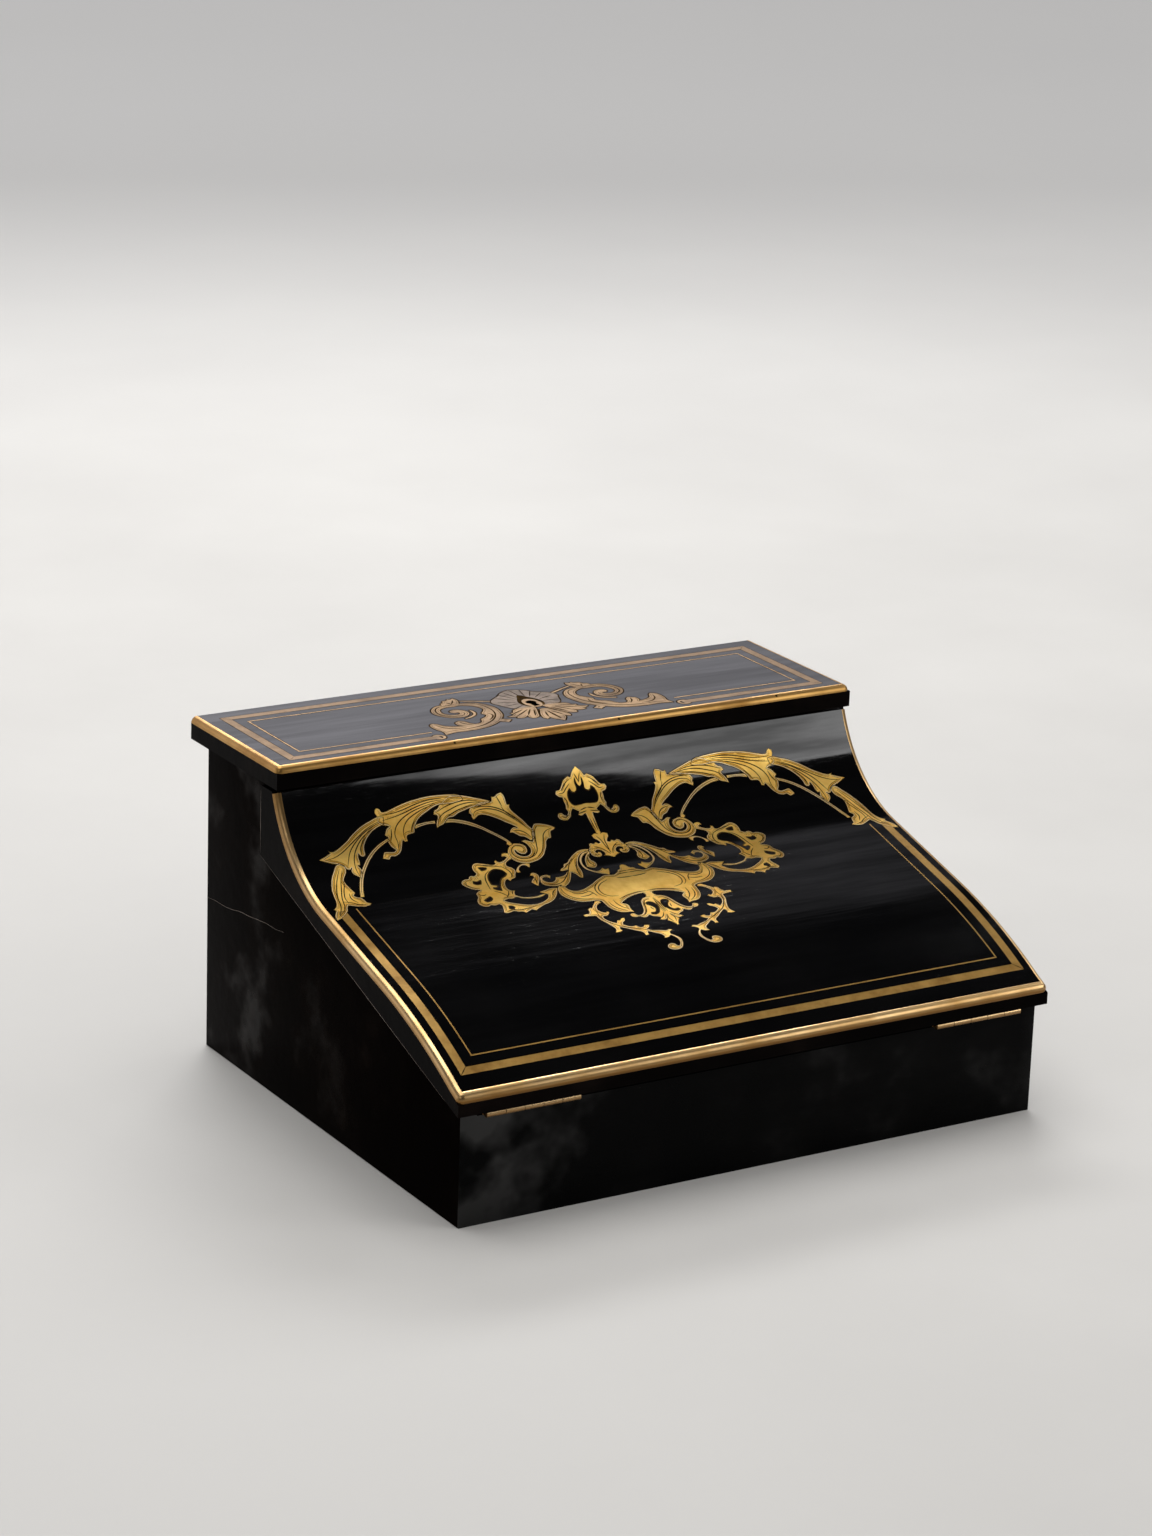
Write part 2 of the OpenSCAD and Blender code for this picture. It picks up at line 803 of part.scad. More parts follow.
// Lock under the lid, with a bolt that shoots forward into the flap
lock_y = heel_y + lock_gap;
plate_t = 1.6;
plate_reach = 10;
case_wall = 2;
case_z = lid_z - plate_t;
bolt_z = case_z - lock_h / 2;
bolt_l = 20;
drill_pin_r = 1.5;
module lock_screw_places() {
  for (x = [-1, 1], y = [plate_reach / 2, lock_d - plate_reach / 2])
    translate([x * (lock_w + plate_reach) / 2, lock_y + y, case_z]) mirror([0, 0, 1]) children();
}

module lock_plate() {
  color(brass) placed() difference() {
    block([-lock_w / 2 - plate_reach, lock_w / 2 + plate_reach], [lock_y, lock_y + lock_d],
      [case_z, lid_z]);
    at_keyhole() translate([0, 0, case_z - cut]) linear_extrude(plate_t + 2 * cut) keyhole_outline(0);
    lock_screw_places() screw_hole();
  }
}

module lock_screws() {
  color(brass) placed() lock_screw_places() screw();
}

module lock_case() {
  color(brass) placed() {
    difference() {
      block([-lock_w / 2, lock_w / 2], [lock_y, lock_y + lock_d], [case_z - lock_h, case_z]);
      block([-lock_w / 2 + case_wall, lock_w / 2 - case_wall],
        [lock_y + case_wall, lock_y + lock_d - case_wall], [case_z - lock_h + case_wall, case_z + cut]);
      block([-bolt_w / 2 - bolt_clear, bolt_w / 2 + bolt_clear], [lock_y - cut, lock_y + case_wall + cut],
        [bolt_z - bolt_t / 2 - bolt_clear, bolt_z + bolt_t / 2 + bolt_clear]);
    }
    at_keyhole() translate([0, 0, case_z - lock_h + case_wall])
      cylinder(h = lock_h - 2 * case_wall, r = drill_pin_r);
  }
}

module lock_bolt() {
  notch = 6;
  tip = lock_y + bolt_clear;
  color(steel) placed() difference() {
    block([-bolt_w / 2, bolt_w / 2], [tip, tip + bolt_l], [bolt_z - bolt_t / 2, bolt_z + bolt_t / 2]);
    block([-notch / 2, notch / 2], [tip + bolt_l - notch, tip + bolt_l + cut],
      [bolt_z - bolt_t, bolt_z + bolt_t]);
  }
}

// Flap
module face_bead_rebate() {
  yz(bead_r + cut, wide_w / 2 + (cut - bead_r) / 2) over_face(bead_r);
}

module lip_rebate_outline() {
  out = across(belly_end) * cut;
  polygon([
    lip_on_face, lip_inside, lip_on_front,
    lip_on_front - [cut, 0], lip + [-cut, cut], lip_on_face + out
  ]);
}

strike_t = 1.2;
strike_edge = 8;
strike_w = bolt_w + 2 * strike_edge;
strike_h = bolt_t + strike_edge;
strike_room = 0.5;
module strike_slot(depth) {
  block([-bolt_w / 2 - strike_room, bolt_w / 2 + strike_room], [heel_y - depth, heel_y + cut],
    [bolt_z - bolt_t / 2 - strike_room, bolt_z + bolt_t / 2 + strike_room]);
}

module strike_block(extra) {
  block([-strike_w / 2, strike_w / 2], [heel_y - strike_t, heel_y + extra],
    [bolt_z - strike_h / 2, bolt_z + strike_h / 2]);
}

leaf_edge = 6;
leather_from = flap_leaf_w + leaf_edge;
heel_p = sqrt(pow(heel_reach, 2) - pow(half_gap, 2));
module leather_block(extra) {
  at_flap_hinge() block([-inner_w / 2 + leather_border, inner_w / 2 - leather_border],
    [leather_from, heel_p - leather_border], [half_gap - extra, half_gap + leather_t]);
}

module flap_board() {
  color(ebony) placed() difference() {
    yz(wide_w) flap_outline();
    both_sides() face_bead_rebate();
    yz(wide_w + 2 * cut) lip_rebate_outline();
    leather_block(cut);
    strike_block(cut);
    strike_slot(strike_t + bolt_travel);
    both_sides() translate([flap_hinge_x, 0, 0]) at_flap_hinge()
      leaf_screws(flap_hinge_len, flap_leaf_w, true) screw_hole();
  }
}

module strike_plate() {
  color(brass) placed() difference() {
    strike_block(0);
    strike_slot(strike_t + cut);
  }
}

module writing_leather() {
  color(leather) placed() leather_block(0);
}

// Marquetry on the flap: two lines down the sides and across the foot, scrolls above
lines_from = 74 * motif;
wide_x = wide_w / 2 - flap_margin;
wide_end = face_len - lip_margin;
thin_x = wide_x - wide_line - line_gap;
thin_end = wide_end - wide_line - line_gap;

// The room of a line down both sides of the face and across its foot, x out from the centre
module line_room(x, width, end) {
  difference() {
    yz(2 * x) face_strip(lines_from, end);
    yz(2 * (x - width)) face_strip(lines_from - cut, end - width);
  }
}

module wide_line_room() {
  line_room(wide_x, wide_line, wide_end);
}

module thin_line_room() {
  line_room(thin_x, thin_line, thin_end);
}

module scroll_outline() {
  for (s = [0, 1]) mirror([s, 0]) {
    polygon(on_face(band([98, 78], 64, 12, 192, 318, 32)));
    polygon(on_face(band([48, 50], 11, 6, 20, 330)));
  }
}

module rocaille_outline() {
  for (s = [0, 1]) mirror([s, 0]) polygon(on_face(band([70, 77], 20, 9, -110, 110)));
}

module cartouche_outline() {
  half = [
    [0, 52], [5, 57], [22, 62], [34, 72], [44, 84], [44, 94],
    [32, 100], [28, 112], [18, 108], [8, 120], [0, 130]
  ];
  other = [for (i = [len(half) - 2 : -1 : 1]) [-half[i].x, half[i].y]];
  polygon(on_face(concat(half, other)));
  difference() {
    polygon(on_face([for (a = [0 : 15 : 345]) [0, 26] + 14 * [cos(a), sin(a)]]));
    polygon(on_face([for (a = [0 : 15 : 345]) [0, 26] + 10 * [cos(a), sin(a)]]));
  }
}

module face_inlay() {
  intersection() {
    face_sheet(wide_w - 2 * bead_r);
    linear_extrude(top_z) children();
  }
}

module flap_veneer() {
  color(ebony) placed() difference() {
    face_sheet(wide_w - 2 * bead_r);
    yz(wide_w) lip_rebate_outline();
    wide_line_room();
    thin_line_room();
    linear_extrude(top_z + cut) {
      scroll_outline();
      rocaille_outline();
      cartouche_outline();
    }
  }
}

module flap_wide_line() {
  color(brass) placed() intersection() {
    face_sheet(wide_w - 2 * bead_r);
    wide_line_room();
  }
}

module flap_thin_line() {
  color(brass) placed() intersection() {
    face_sheet(wide_w - 2 * bead_r);
    thin_line_room();
  }
}

module flap_scrolls() {
  color(brass) placed() face_inlay() scroll_outline();
}

module flap_rocaille() {
  color(brass) placed() face_inlay() rocaille_outline();
}

module flap_cartouche() {
  color(brass) placed() face_inlay() cartouche_outline();
}

// The bead is bent in three lengths, which meet where the face's curves do.
bead_joint = 0.05;
module face_bead() {
  ends = [-bead_r, cove_len, belly_at, face_len + bead_r];
  flap_room() for (i = [0 : 2])
    along_face(ends[i] + bead_joint / 2, ends[i + 1] - bead_joint / 2)
      translate([wide_w / 2 - bead_r, -bead_r]) bead_outline();
}

module flap_left_bead() {
  color(brass) placed() mirror([1, 0, 0]) face_bead();
}

module flap_right_bead() {
  color(brass) placed() face_bead();
}

module flap_lip_bead() {
  color(brass) placed() yz(wide_w - 2 * bead_r) intersection() {
    translate(lip_inside) circle(bead_r);
    polygon([lip_inside, 3 * lip_on_face - 2 * lip_inside, 3 * lip_on_front - 2 * lip_inside]);
  }
}

bottom_board();
left_side();
right_side();
front_board();
back_board();
well_lining();
shelf_cleats();
ink_shelf();
ink_front();
left_divider();
right_divider();
pen_tray();
left_inkwell();
right_inkwell();
left_ink_collar();
right_ink_collar();
ink_cap_pins();
left_ink_cap();
right_ink_cap();
left_flap_hinge_lower();
right_flap_hinge_lower();
flap_hinge_pins();
left_lid_hinge_lower();
right_lid_hinge_lower();
lid_hinge_pins();
carcass_screws();
lid_board();
lid_veneer();
lid_front_bead();
lid_left_bead();
lid_right_bead();
lid_wide_line();
lid_thin_line();
lid_scrolls();
keyhole_rim();
lock_plate();
lock_case();
lock_bolt();
lock_screws();
left_lid_hinge_upper();
right_lid_hinge_upper();
lid_screws();
flap_board();
flap_veneer();
flap_left_bead();
flap_right_bead();
flap_lip_bead();
flap_wide_line();
flap_thin_line();
flap_scrolls();
flap_rocaille();
flap_cartouche();
writing_leather();
strike_plate();
left_flap_hinge_upper();
right_flap_hinge_upper();
flap_screws();
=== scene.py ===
# %% [markdown]
# # A slope-front writing box with brass scroll marquetry
# The real box is a low carcass of thin boards, ebonised and French polished until it is nearly a
# black mirror. A flap with a serpentine face covers the writing side and a flat lid covers the ink
# compartment. Sheet brass, sawn and engraved, is let into both faces. The CAD model gives the
# boards, hinges, lock and inkwells. This lesson adds what only a mesh and a shader can show: the
# sawn brass with its engraving, the beads, the polish, leather, cloth and light.

# %% Load the CAD model
import math

import bmesh
import bpy
import numpy as np
from mathutils import Matrix, Vector
from mathutils.geometry import delaunay_2d_cdt


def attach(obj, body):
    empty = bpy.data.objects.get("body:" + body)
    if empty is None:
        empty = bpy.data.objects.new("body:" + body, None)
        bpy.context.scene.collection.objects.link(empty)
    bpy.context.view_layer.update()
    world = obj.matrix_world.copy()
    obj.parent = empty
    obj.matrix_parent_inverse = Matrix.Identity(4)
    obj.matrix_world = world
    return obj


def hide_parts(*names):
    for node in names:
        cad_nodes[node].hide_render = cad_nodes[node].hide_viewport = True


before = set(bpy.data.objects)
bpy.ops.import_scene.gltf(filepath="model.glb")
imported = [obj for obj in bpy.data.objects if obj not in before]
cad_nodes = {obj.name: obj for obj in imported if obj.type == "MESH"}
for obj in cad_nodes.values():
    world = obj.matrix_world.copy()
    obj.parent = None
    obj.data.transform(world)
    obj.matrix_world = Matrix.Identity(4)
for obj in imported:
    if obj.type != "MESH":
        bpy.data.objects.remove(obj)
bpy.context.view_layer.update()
scene = bpy.context.scene
MM = 0.001

# %% [markdown]
# ## The camera
# The box is seen from its front left corner, a little from above, with a long lens. Turn, rise and
# roll were solved from the straight edges of the box, so the camera is written as three angles, a
# place and a lens. Axes built from the angles are easier to read than a raw matrix.

# %% Camera
CAMERA_TURN, CAMERA_RISE, CAMERA_ROLL = 31.63, 17.64, 1.97
CAMERA_PLACE = Vector((-1.1434, -1.8092, 0.8495))
CAMERA_LENS = 102.75


def camera_axes(turn, rise, roll):
    """Right, up and backward directions of a camera, from degrees."""
    turn, rise, roll = (math.radians(a) for a in (turn, rise, roll))
    level = math.cos(rise)
    ahead = Vector((math.sin(turn) * level, math.cos(turn) * level, -math.sin(rise)))
    right = Vector((math.cos(turn), -math.sin(turn), 0))
    up = right.cross(ahead)
    return (
        math.cos(roll) * right + math.sin(roll) * up,
        math.cos(roll) * up - math.sin(roll) * right,
        -ahead,
    )


camera = bpy.data.objects.new("camera", bpy.data.cameras.new("camera"))
camera.data.lens = CAMERA_LENS
axes = camera_axes(CAMERA_TURN, CAMERA_RISE, CAMERA_ROLL)
camera.matrix_world = Matrix.Translation(CAMERA_PLACE) @ Matrix(axes).transposed().to_4x4()
scene.collection.objects.link(camera)
scene.camera = camera
scene.view_settings.view_transform = "Standard"
print("Camera at", tuple(camera.location), "lens", camera.data.lens)

# %% [markdown]
# ## Small tools for shader nodes
# Every finish below is a tree of nodes. It could be put together node by node, but a few helpers
# that add a node, set its plain values and link whatever is a socket keep each finish down to a few
# readable lines.

# %% Node helpers
def plug(tree, node, inputs):
    """Plain values set on a node's inputs, and sockets linked to them."""
    for key, value in inputs.items():
        if isinstance(value, bpy.types.NodeSocket):
            tree.links.new(value, node.inputs[key])
        else:
            node.inputs[key].default_value = value


def add_node(tree, kind, inputs, **settings):
    """One node: settings are its properties, inputs are values or sockets to link."""
    made = tree.nodes.new(kind)
    for key, value in settings.items():
        setattr(made, key, value)
    plug(tree, made, inputs)
    return made


def coordinates(tree, kind="Object"):
    """Where a point of the surface is, in metres of the shared frame, or another kind of place."""
    return tree.nodes.new("ShaderNodeTexCoord").outputs[kind]


def spread(tree, value, low, high, to_low=0.0, to_high=1.0):
    """A value stretched from low..high to to_low..to_high and kept there."""
    ranged = add_node(tree, "ShaderNodeMapRange", {
        "Value": value, "From Min": low, "From Max": high, "To Min": to_low, "To Max": to_high})
    return ranged.outputs["Result"]


def between(tree, mask, first, second):
    """A value that goes from first to second as mask goes from 0 to 1."""
    return spread(tree, mask, 0.0, 1.0, first, second)


def both(tree, operation, first, second):
    """One step of arithmetic on two values."""
    made = add_node(tree, "ShaderNodeMath", {0: first, 1: second}, operation=operation)
    return made.outputs[0]


MIX_MASK, MIX_FIRST, MIX_SECOND, MIX_RESULT = 0, 6, 7, 2


def tint(tree, mask, first, second):
    """A colour that goes from first to second as mask goes from 0 to 1."""
    first, second = ((*c, 1.0) if isinstance(c, tuple) else c for c in (first, second))
    inputs = {MIX_MASK: mask, MIX_FIRST: first, MIX_SECOND: second}
    return add_node(tree, "ShaderNodeMix", inputs, data_type="RGBA").outputs[MIX_RESULT]


def noise(tree, place, scale, detail=2.0, rough=0.5):
    """Soft noise at a number of spots per metre."""
    made = add_node(tree, "ShaderNodeTexNoise", {
        "Vector": place, "Scale": scale, "Detail": detail, "Roughness": rough})
    return made.outputs["Fac"]


def stretched(tree, place, scale, turn=(0.0, 0.0, 0.0)):
    """Coordinates pulled out along one axis, for streaks."""
    made = add_node(tree, "ShaderNodeMapping", {"Vector": place, "Scale": scale, "Rotation": turn})
    return made.outputs["Vector"]


def new_group(name, inputs, outputs):
    """An empty node group with named value sockets."""
    group = bpy.data.node_groups.new(name, "ShaderNodeTree")
    for label, value in inputs.items():
        socket = group.interface.new_socket(label, in_out="INPUT", socket_type="NodeSocketFloat")
        socket.default_value = value
    for label in outputs:
        group.interface.new_socket(label, in_out="OUTPUT", socket_type="NodeSocketFloat")
    given = group.nodes.new("NodeGroupInput").outputs
    result = group.nodes.new("NodeGroupOutput")
    return group, given, result, coordinates(group)


def use_group(tree, group, values):
    """The outputs of a group placed in a material, with its own values."""
    made = tree.nodes.new("ShaderNodeGroup")
    made.node_tree = group
    plug(tree, made, values)
    return made.outputs


print("Node helpers ready")

# %% [markdown]
# ## Shared effects
# Three things happen to every surface of an old polished box. Polish clouds, ripples and picks up
# hairline scratches and dust; brass tarnishes in patches and keeps the strokes of the last
# polishing; wood shows its figure even through black stain. Each one is a node group, so that all
# materials share the same way of ageing and only the amounts differ. First the polish. Soft noise
# gives the clouds and ripples, noise pulled out long and thin gives the streaks and hairlines, and
# very fine noise gives the dust.

# %% Effect: worn polish
CLOUD_LIMITS, SCRATCH_LIMITS, DUST_LIMITS = (0.36, 0.66), (0.70, 0.78), (0.62, 0.76)
STREAK_PULL, DUST_PER_M = (11.0, 130.0, 130.0), 1500.0
HAIR_X_PULL, HAIR_X_TURN = (26.0, 900.0, 900.0), (0.0, 0.0, 0.35)
HAIR_Y_PULL, HAIR_Y_TURN = (700.0, 22.0, 700.0), (0.2, 0.0, -0.25)

polish_wear, given, result, place = new_group(
    "polish_wear", {"Cloud Scale": 12.0, "Ripple Scale": 20.0},
    ["Cloud", "Ripple", "Streak", "Scratch", "Dust"])
cloud = noise(polish_wear, place, given["Cloud Scale"], 4.0, 0.55)
along_x = noise(polish_wear, stretched(polish_wear, place, HAIR_X_PULL, HAIR_X_TURN), 1.0)
along_y = noise(polish_wear, stretched(polish_wear, place, HAIR_Y_PULL, HAIR_Y_TURN), 1.0)
hair = both(polish_wear, "MAXIMUM", along_x, along_y)
dust = noise(polish_wear, place, DUST_PER_M, 2.0, 0.6)
plug(polish_wear, result, {
    "Cloud": spread(polish_wear, cloud, *CLOUD_LIMITS),
    "Ripple": noise(polish_wear, place, given["Ripple Scale"], 1.0, 0.4),
    "Streak": noise(polish_wear, stretched(polish_wear, place, STREAK_PULL), 1.0, 2.0),
    "Scratch": spread(polish_wear, hair, *SCRATCH_LIMITS),
    "Dust": spread(polish_wear, dust, *DUST_LIMITS)})
print("Group:", polish_wear.name)

# %% [markdown]
# ### Brass and wood
# Old brass is never one colour: tarnish grows in soft patches, a rubbing cloth leaves fine strokes
# that all run one way, and here and there is a pit. Wood needs only two masks, broad bands of
# figure and short dark pores, both pulled out along the grain.

# %% Effect: aged brass
TARNISH_LIMITS, PIT_LIMITS, PITS_PER_M = (0.40, 0.68), (0.70, 0.78), 1100.0
STROKE_PULL, STROKE_TURN = (160.0, 3200.0, 3200.0), (0.1, 0.0, 0.5)

brass_age, given, result, place = new_group(
    "brass_age", {"Patch Scale": 45.0, "Stroke Scale": 1.0}, ["Tarnish", "Stroke", "Pit"])
patch = noise(brass_age, place, given["Patch Scale"], 5.0, 0.62)
strokes = stretched(brass_age, place, STROKE_PULL, STROKE_TURN)
pit = noise(brass_age, place, PITS_PER_M, 3.0, 0.65)
plug(brass_age, result, {
    "Tarnish": spread(brass_age, patch, *TARNISH_LIMITS),
    "Stroke": noise(brass_age, strokes, given["Stroke Scale"], 2.0),
    "Pit": spread(brass_age, pit, *PIT_LIMITS)})
print("Group:", brass_age.name)

# %% Effect: wood figure
FIGURE_PULL, FIGURE_LIMITS = (7.0, 90.0, 90.0), (0.34, 0.68)
PORE_PULL, PORE_LIMITS = (90.0, 2600.0, 2600.0), (0.60, 0.74)

wood_figure, given, result, place = new_group(
    "wood_figure", {"Figure Scale": 1.0}, ["Figure", "Pore"])
grain = stretched(wood_figure, place, FIGURE_PULL)
bands = noise(wood_figure, grain, given["Figure Scale"], 4.0, 0.6)
pores = noise(wood_figure, stretched(wood_figure, place, PORE_PULL), 1.0, 2.0)
plug(wood_figure, result, {
    "Figure": spread(wood_figure, bands, *FIGURE_LIMITS),
    "Pore": spread(wood_figure, pores, *PORE_LIMITS)})
print("Group:", wood_figure.name)

# %% [markdown]
# ## Ebonised wood
# The boards are stained black and built up with shellac. What the eye sees is mostly reflection, so
# the base is nearly black and the roughness is low. Faint ripples in the polish bend reflections,
# cloudy patches and hairlines dull them a little. The flap and lid are the cleanest, the carcass
# side is browner and more handled, and the front is a charcoal grey.

# %% Material: ebonised wood
RIPPLES_PER_M, RIPPLE_DEPTH, STREAK_DEPTH = 21.0, 0.00015, 0.00012
PORE_DEPTH, SCRATCH_DEPTH, FIGURE_LEAST = 0.000005, 0.000002, 0.35
SCUFF = (0.06, 0.053, 0.047)


def new_finish(name):
    """A material with one Principled shader."""
    material = bpy.data.materials.new(name)
    material.use_nodes = True
    return material, material.node_tree, material.node_tree.nodes["Principled BSDF"]


def set_normal(tree, shader, layers):
    """Bump layers as (height socket, depth in metres), one on top of the other."""
    normal = None
    for height, depth in layers:
        bump = add_node(tree, "ShaderNodeBump", {"Height": height, "Distance": depth})
        if normal is not None:
            tree.links.new(normal, bump.inputs["Normal"])
        normal = bump.outputs["Normal"]
    tree.links.new(normal, shader.inputs["Normal"])


def ebonised(name, deep, worn, sheen, mirror, cloud_scale=12.0):
    """Black stained wood: sheen is (lowest, highest) roughness, mirror the gloss level."""
    material, tree, shader = new_finish(name)
    wear = use_group(tree, polish_wear, {"Cloud Scale": cloud_scale, "Ripple Scale": RIPPLES_PER_M})
    wood = use_group(tree, wood_figure, {"Figure Scale": 1.0})
    smudge = both(tree, "MULTIPLY", wear["Cloud"], wear["Cloud"])
    patch = both(tree, "MULTIPLY", smudge, between(tree, wood["Figure"], FIGURE_LEAST, 1.0))
    stained = tint(tree, patch, deep, worn)
    rubbed = both(tree, "MULTIPLY", wear["Scratch"], wear["Cloud"])
    scuffed = tint(tree, both(tree, "MULTIPLY", rubbed, wear["Dust"]), stained, SCUFF)
    dull = both(tree, "MAXIMUM", wear["Cloud"], wear["Scratch"])
    plug(tree, shader, {
        "Base Color": scuffed, "Roughness": between(tree, dull, *sheen),
        "Specular IOR Level": mirror})
    set_normal(tree, shader, [
        (wear["Ripple"], RIPPLE_DEPTH), (wear["Streak"], STREAK_DEPTH),
        (wood["Pore"], -PORE_DEPTH), (wear["Scratch"], -SCRATCH_DEPTH)])
    return material, tree, shader, wear


print("Ebonised wood ready")

# %% [markdown]
# ### The coat of polish
# Shellac is a clear layer over the stain, which is what the shader's coat is for. On the handled
# boards it is left only in glossy islands, more of them towards one end of the board. On the flap
# and lid the polisher's pad laid it on in long streaks. So the coat's weight is a mask, and its
# roughness one plain number.

# %% Material: coats of polish
ISLAND_LIMITS, ISLAND_POWER, ISLAND_ROUGH = (0.62, 1.0), 1.6, 0.06
PAD_PULL, PAD_LIMITS, PAD_ROUGH = (7.0, 75.0, 75.0), (0.36, 0.64), 0.05


def polish_patches(finish, axis, near, far, least, most, more):
    """Glossy islands in a dull polish, more of them towards one end of the board (metres)."""
    material, tree, shader, wear = finish
    parts = add_node(tree, "ShaderNodeSeparateXYZ", {0: coordinates(tree)}).outputs
    closeness = spread(tree, parts[axis], near, far, 1.0, 0.0)
    cover = both(tree, "ADD", wear["Cloud"], between(tree, closeness, 0.0, more))
    island = both(tree, "POWER", spread(tree, cover, *ISLAND_LIMITS), ISLAND_POWER)
    strength = between(tree, closeness, least, most)
    plug(tree, shader, {
        "Coat Weight": both(tree, "MULTIPLY", island, strength), "Coat Roughness": ISLAND_ROUGH})
    return material


def polish_streaks(finish, least, most):
    """A coat that the polisher's pad left thicker in long streaks across the board."""
    material, tree, shader, _ = finish
    pad = noise(tree, stretched(tree, coordinates(tree), PAD_PULL), 1.0, 4.0, 0.6)
    plug(tree, shader, {
        "Coat Weight": spread(tree, pad, *PAD_LIMITS, least, most), "Coat Roughness": PAD_ROUGH})
    return material


BLACK, BLACK_WORN = (0.0006, 0.0006, 0.0007), (0.0017, 0.0016, 0.0016)
BROWN, BROWN_WORN = (0.0011, 0.0005, 0.0003), (0.0054, 0.0032, 0.0022)
CHARCOAL, CHARCOAL_WORN = (0.0010, 0.0010, 0.0010), (0.0050, 0.0047, 0.0046)
EDGE_BROWN, EDGE_WORN = (0.0012, 0.0008, 0.0007), (0.0060, 0.0040, 0.0032)
flap_polish = polish_streaks(
    ebonised("flap_polish", BLACK, BLACK_WORN, (0.05, 0.10), 0.34), 0.05, 1.0)
lid_polish = polish_streaks(
    ebonised("lid_polish", BLACK, BLACK_WORN, (0.05, 0.10), 0.33), 0.05, 0.42)
side_polish = polish_patches(
    ebonised("side_polish", BROWN, BROWN_WORN, (0.10, 0.30), 0.003, 17.0),
    "Y", 0.13, -0.06, 0.006, 0.21, 0.06)
front_polish = polish_patches(
    ebonised("front_polish", CHARCOAL, CHARCOAL_WORN, (0.06, 0.22), 0.03, 16.0),
    "X", -0.15, -0.07, 0.18, 0.70, 0.60)
edge_polish = ebonised("edge_polish", EDGE_BROWN, EDGE_WORN, (0.08, 0.24), 0.012, 22.0)[0]
print("Ebonised finishes:", [m.name for m in bpy.data.materials if m.name.endswith("polish")])

# %% [markdown]
# ## Brass
# The marquetry is thin sheet brass, engraved and rubbed down with the veneer, so it is satin and
# not a mirror: polishing strokes spread its highlights. Tarnish sits in brown patches. Along its
# edges each leaf has a paler rim and next to it a shaded band, so these two get a paler and a
# deeper brass. Beads and hinges are thicker and handled more, which leaves them smooth; their
# undersides are coloured a darker brown, a painted shade on the faces that turn downward. The lid's
# brass is coloured darker, a painted shade, because the lid is seen at a grazing angle and mirrors
# more. The engraved lines hold black wax, which has no gloss at all.

# %% Material: brass and its engraving
SHEET_RELIEF, INLAY_RELIEF = (0.000006, 0.000008), (0.00001, 0.000008)
BEAD_RELIEF, HINGE_RELIEF = (0.0000008, 0.0000008), (0.0000004, 0.0000004)
PIT_SHADE = (0.7, 0.65, 0.6)
UNDER_RISE, TOP_RISE = -0.15, 0.80
NOISE_LOW, NOISE_HIGH = 0.3, 0.7


def brass_finish(name, bright, brown, sheen, patch_scale, relief=SHEET_RELIEF, under=None):
    """Aged brass: sheen is (lowest, highest) roughness, relief the depths of strokes and pits, under a
    painted shade colour for downward faces.
    """
    material, tree, shader = new_finish(name)
    age = use_group(tree, brass_age, {"Patch Scale": patch_scale, "Stroke Scale": 1.0})
    metal = tint(tree, age["Tarnish"], bright, brown)
    # Painted shade: faces that turn downward are tinted towards the darker underside colour.
    if under:
        facing = add_node(tree, "ShaderNodeSeparateXYZ", {0: coordinates(tree, "Normal")}).outputs
        painted_underside_shade = spread(tree, facing["Z"], UNDER_RISE, TOP_RISE, 1.0, 0.0)
        metal = tint(tree, painted_underside_shade, metal, under)
    pitted = tint(tree, age["Pit"], metal, tuple(b * s for b, s in zip(brown, PIT_SHADE)))
    dull = both(tree, "MAXIMUM", age["Tarnish"], age["Pit"])
    plug(tree, shader, {
        "Base Color": pitted, "Roughness": between(tree, dull, *sheen), "Metallic": 1.0})
    set_normal(tree, shader, [(age["Stroke"], relief[0]), (age["Pit"], -relief[1])])
    return material


inlay_brass = brass_finish(
    "inlay_brass", (1.0, 0.66, 0.17), (0.78, 0.44, 0.075), (0.36, 0.50), 75.0, INLAY_RELIEF)
shade_brass = brass_finish(
    "shade_brass", (0.70, 0.38, 0.055), (0.50, 0.26, 0.038), (0.38, 0.50), 75.0)
rim_brass = brass_finish(
    "rim_brass", (1.0, 0.78, 0.44), (0.86, 0.60, 0.28), (0.36, 0.46), 75.0)
line_brass = brass_finish(
    "line_brass", (0.47, 0.28, 0.075), (0.25, 0.135, 0.03), (0.42, 0.56), 55.0)
# Lid brass, shell included: colours darker than the flap's, a painted shade for the lid's grazing light.
lid_brass = brass_finish(
    "lid_brass", (0.240, 0.137, 0.044), (0.105, 0.057, 0.019), (0.34, 0.5), 60.0)
lid_line_brass = brass_finish(
    "lid_line_brass", (0.155, 0.083, 0.023), (0.088, 0.046, 0.013), (0.34, 0.5), 55.0)
lid_thin_brass = brass_finish(
    "lid_thin_brass", (0.36, 0.215, 0.086), (0.22, 0.127, 0.05), (0.34, 0.5), 55.0)
shell_brass = brass_finish(
    "shell_brass", (0.110, 0.071, 0.041), (0.048, 0.030, 0.017), (0.34, 0.5), 160.0)
# Beads and hinges: the last colour is their painted underside shade.
bead_brass = brass_finish(
    "bead_brass", (0.82, 0.56, 0.27), (0.57, 0.33, 0.11), (0.30, 0.42), 30.0, BEAD_RELIEF,
    (0.22, 0.11, 0.03))
# The lid's bead is coloured darker too, a painted shade.
lid_bead_brass = brass_finish(
    "lid_bead_brass", (0.53, 0.305, 0.095), (0.34, 0.17, 0.04), (0.34, 0.46), 30.0, BEAD_RELIEF)
hinge_brass = brass_finish(
    "hinge_brass", (0.84, 0.60, 0.32), (0.56, 0.36, 0.16), (0.26, 0.42), 40.0, HINGE_RELIEF,
    (0.29, 0.165, 0.065))

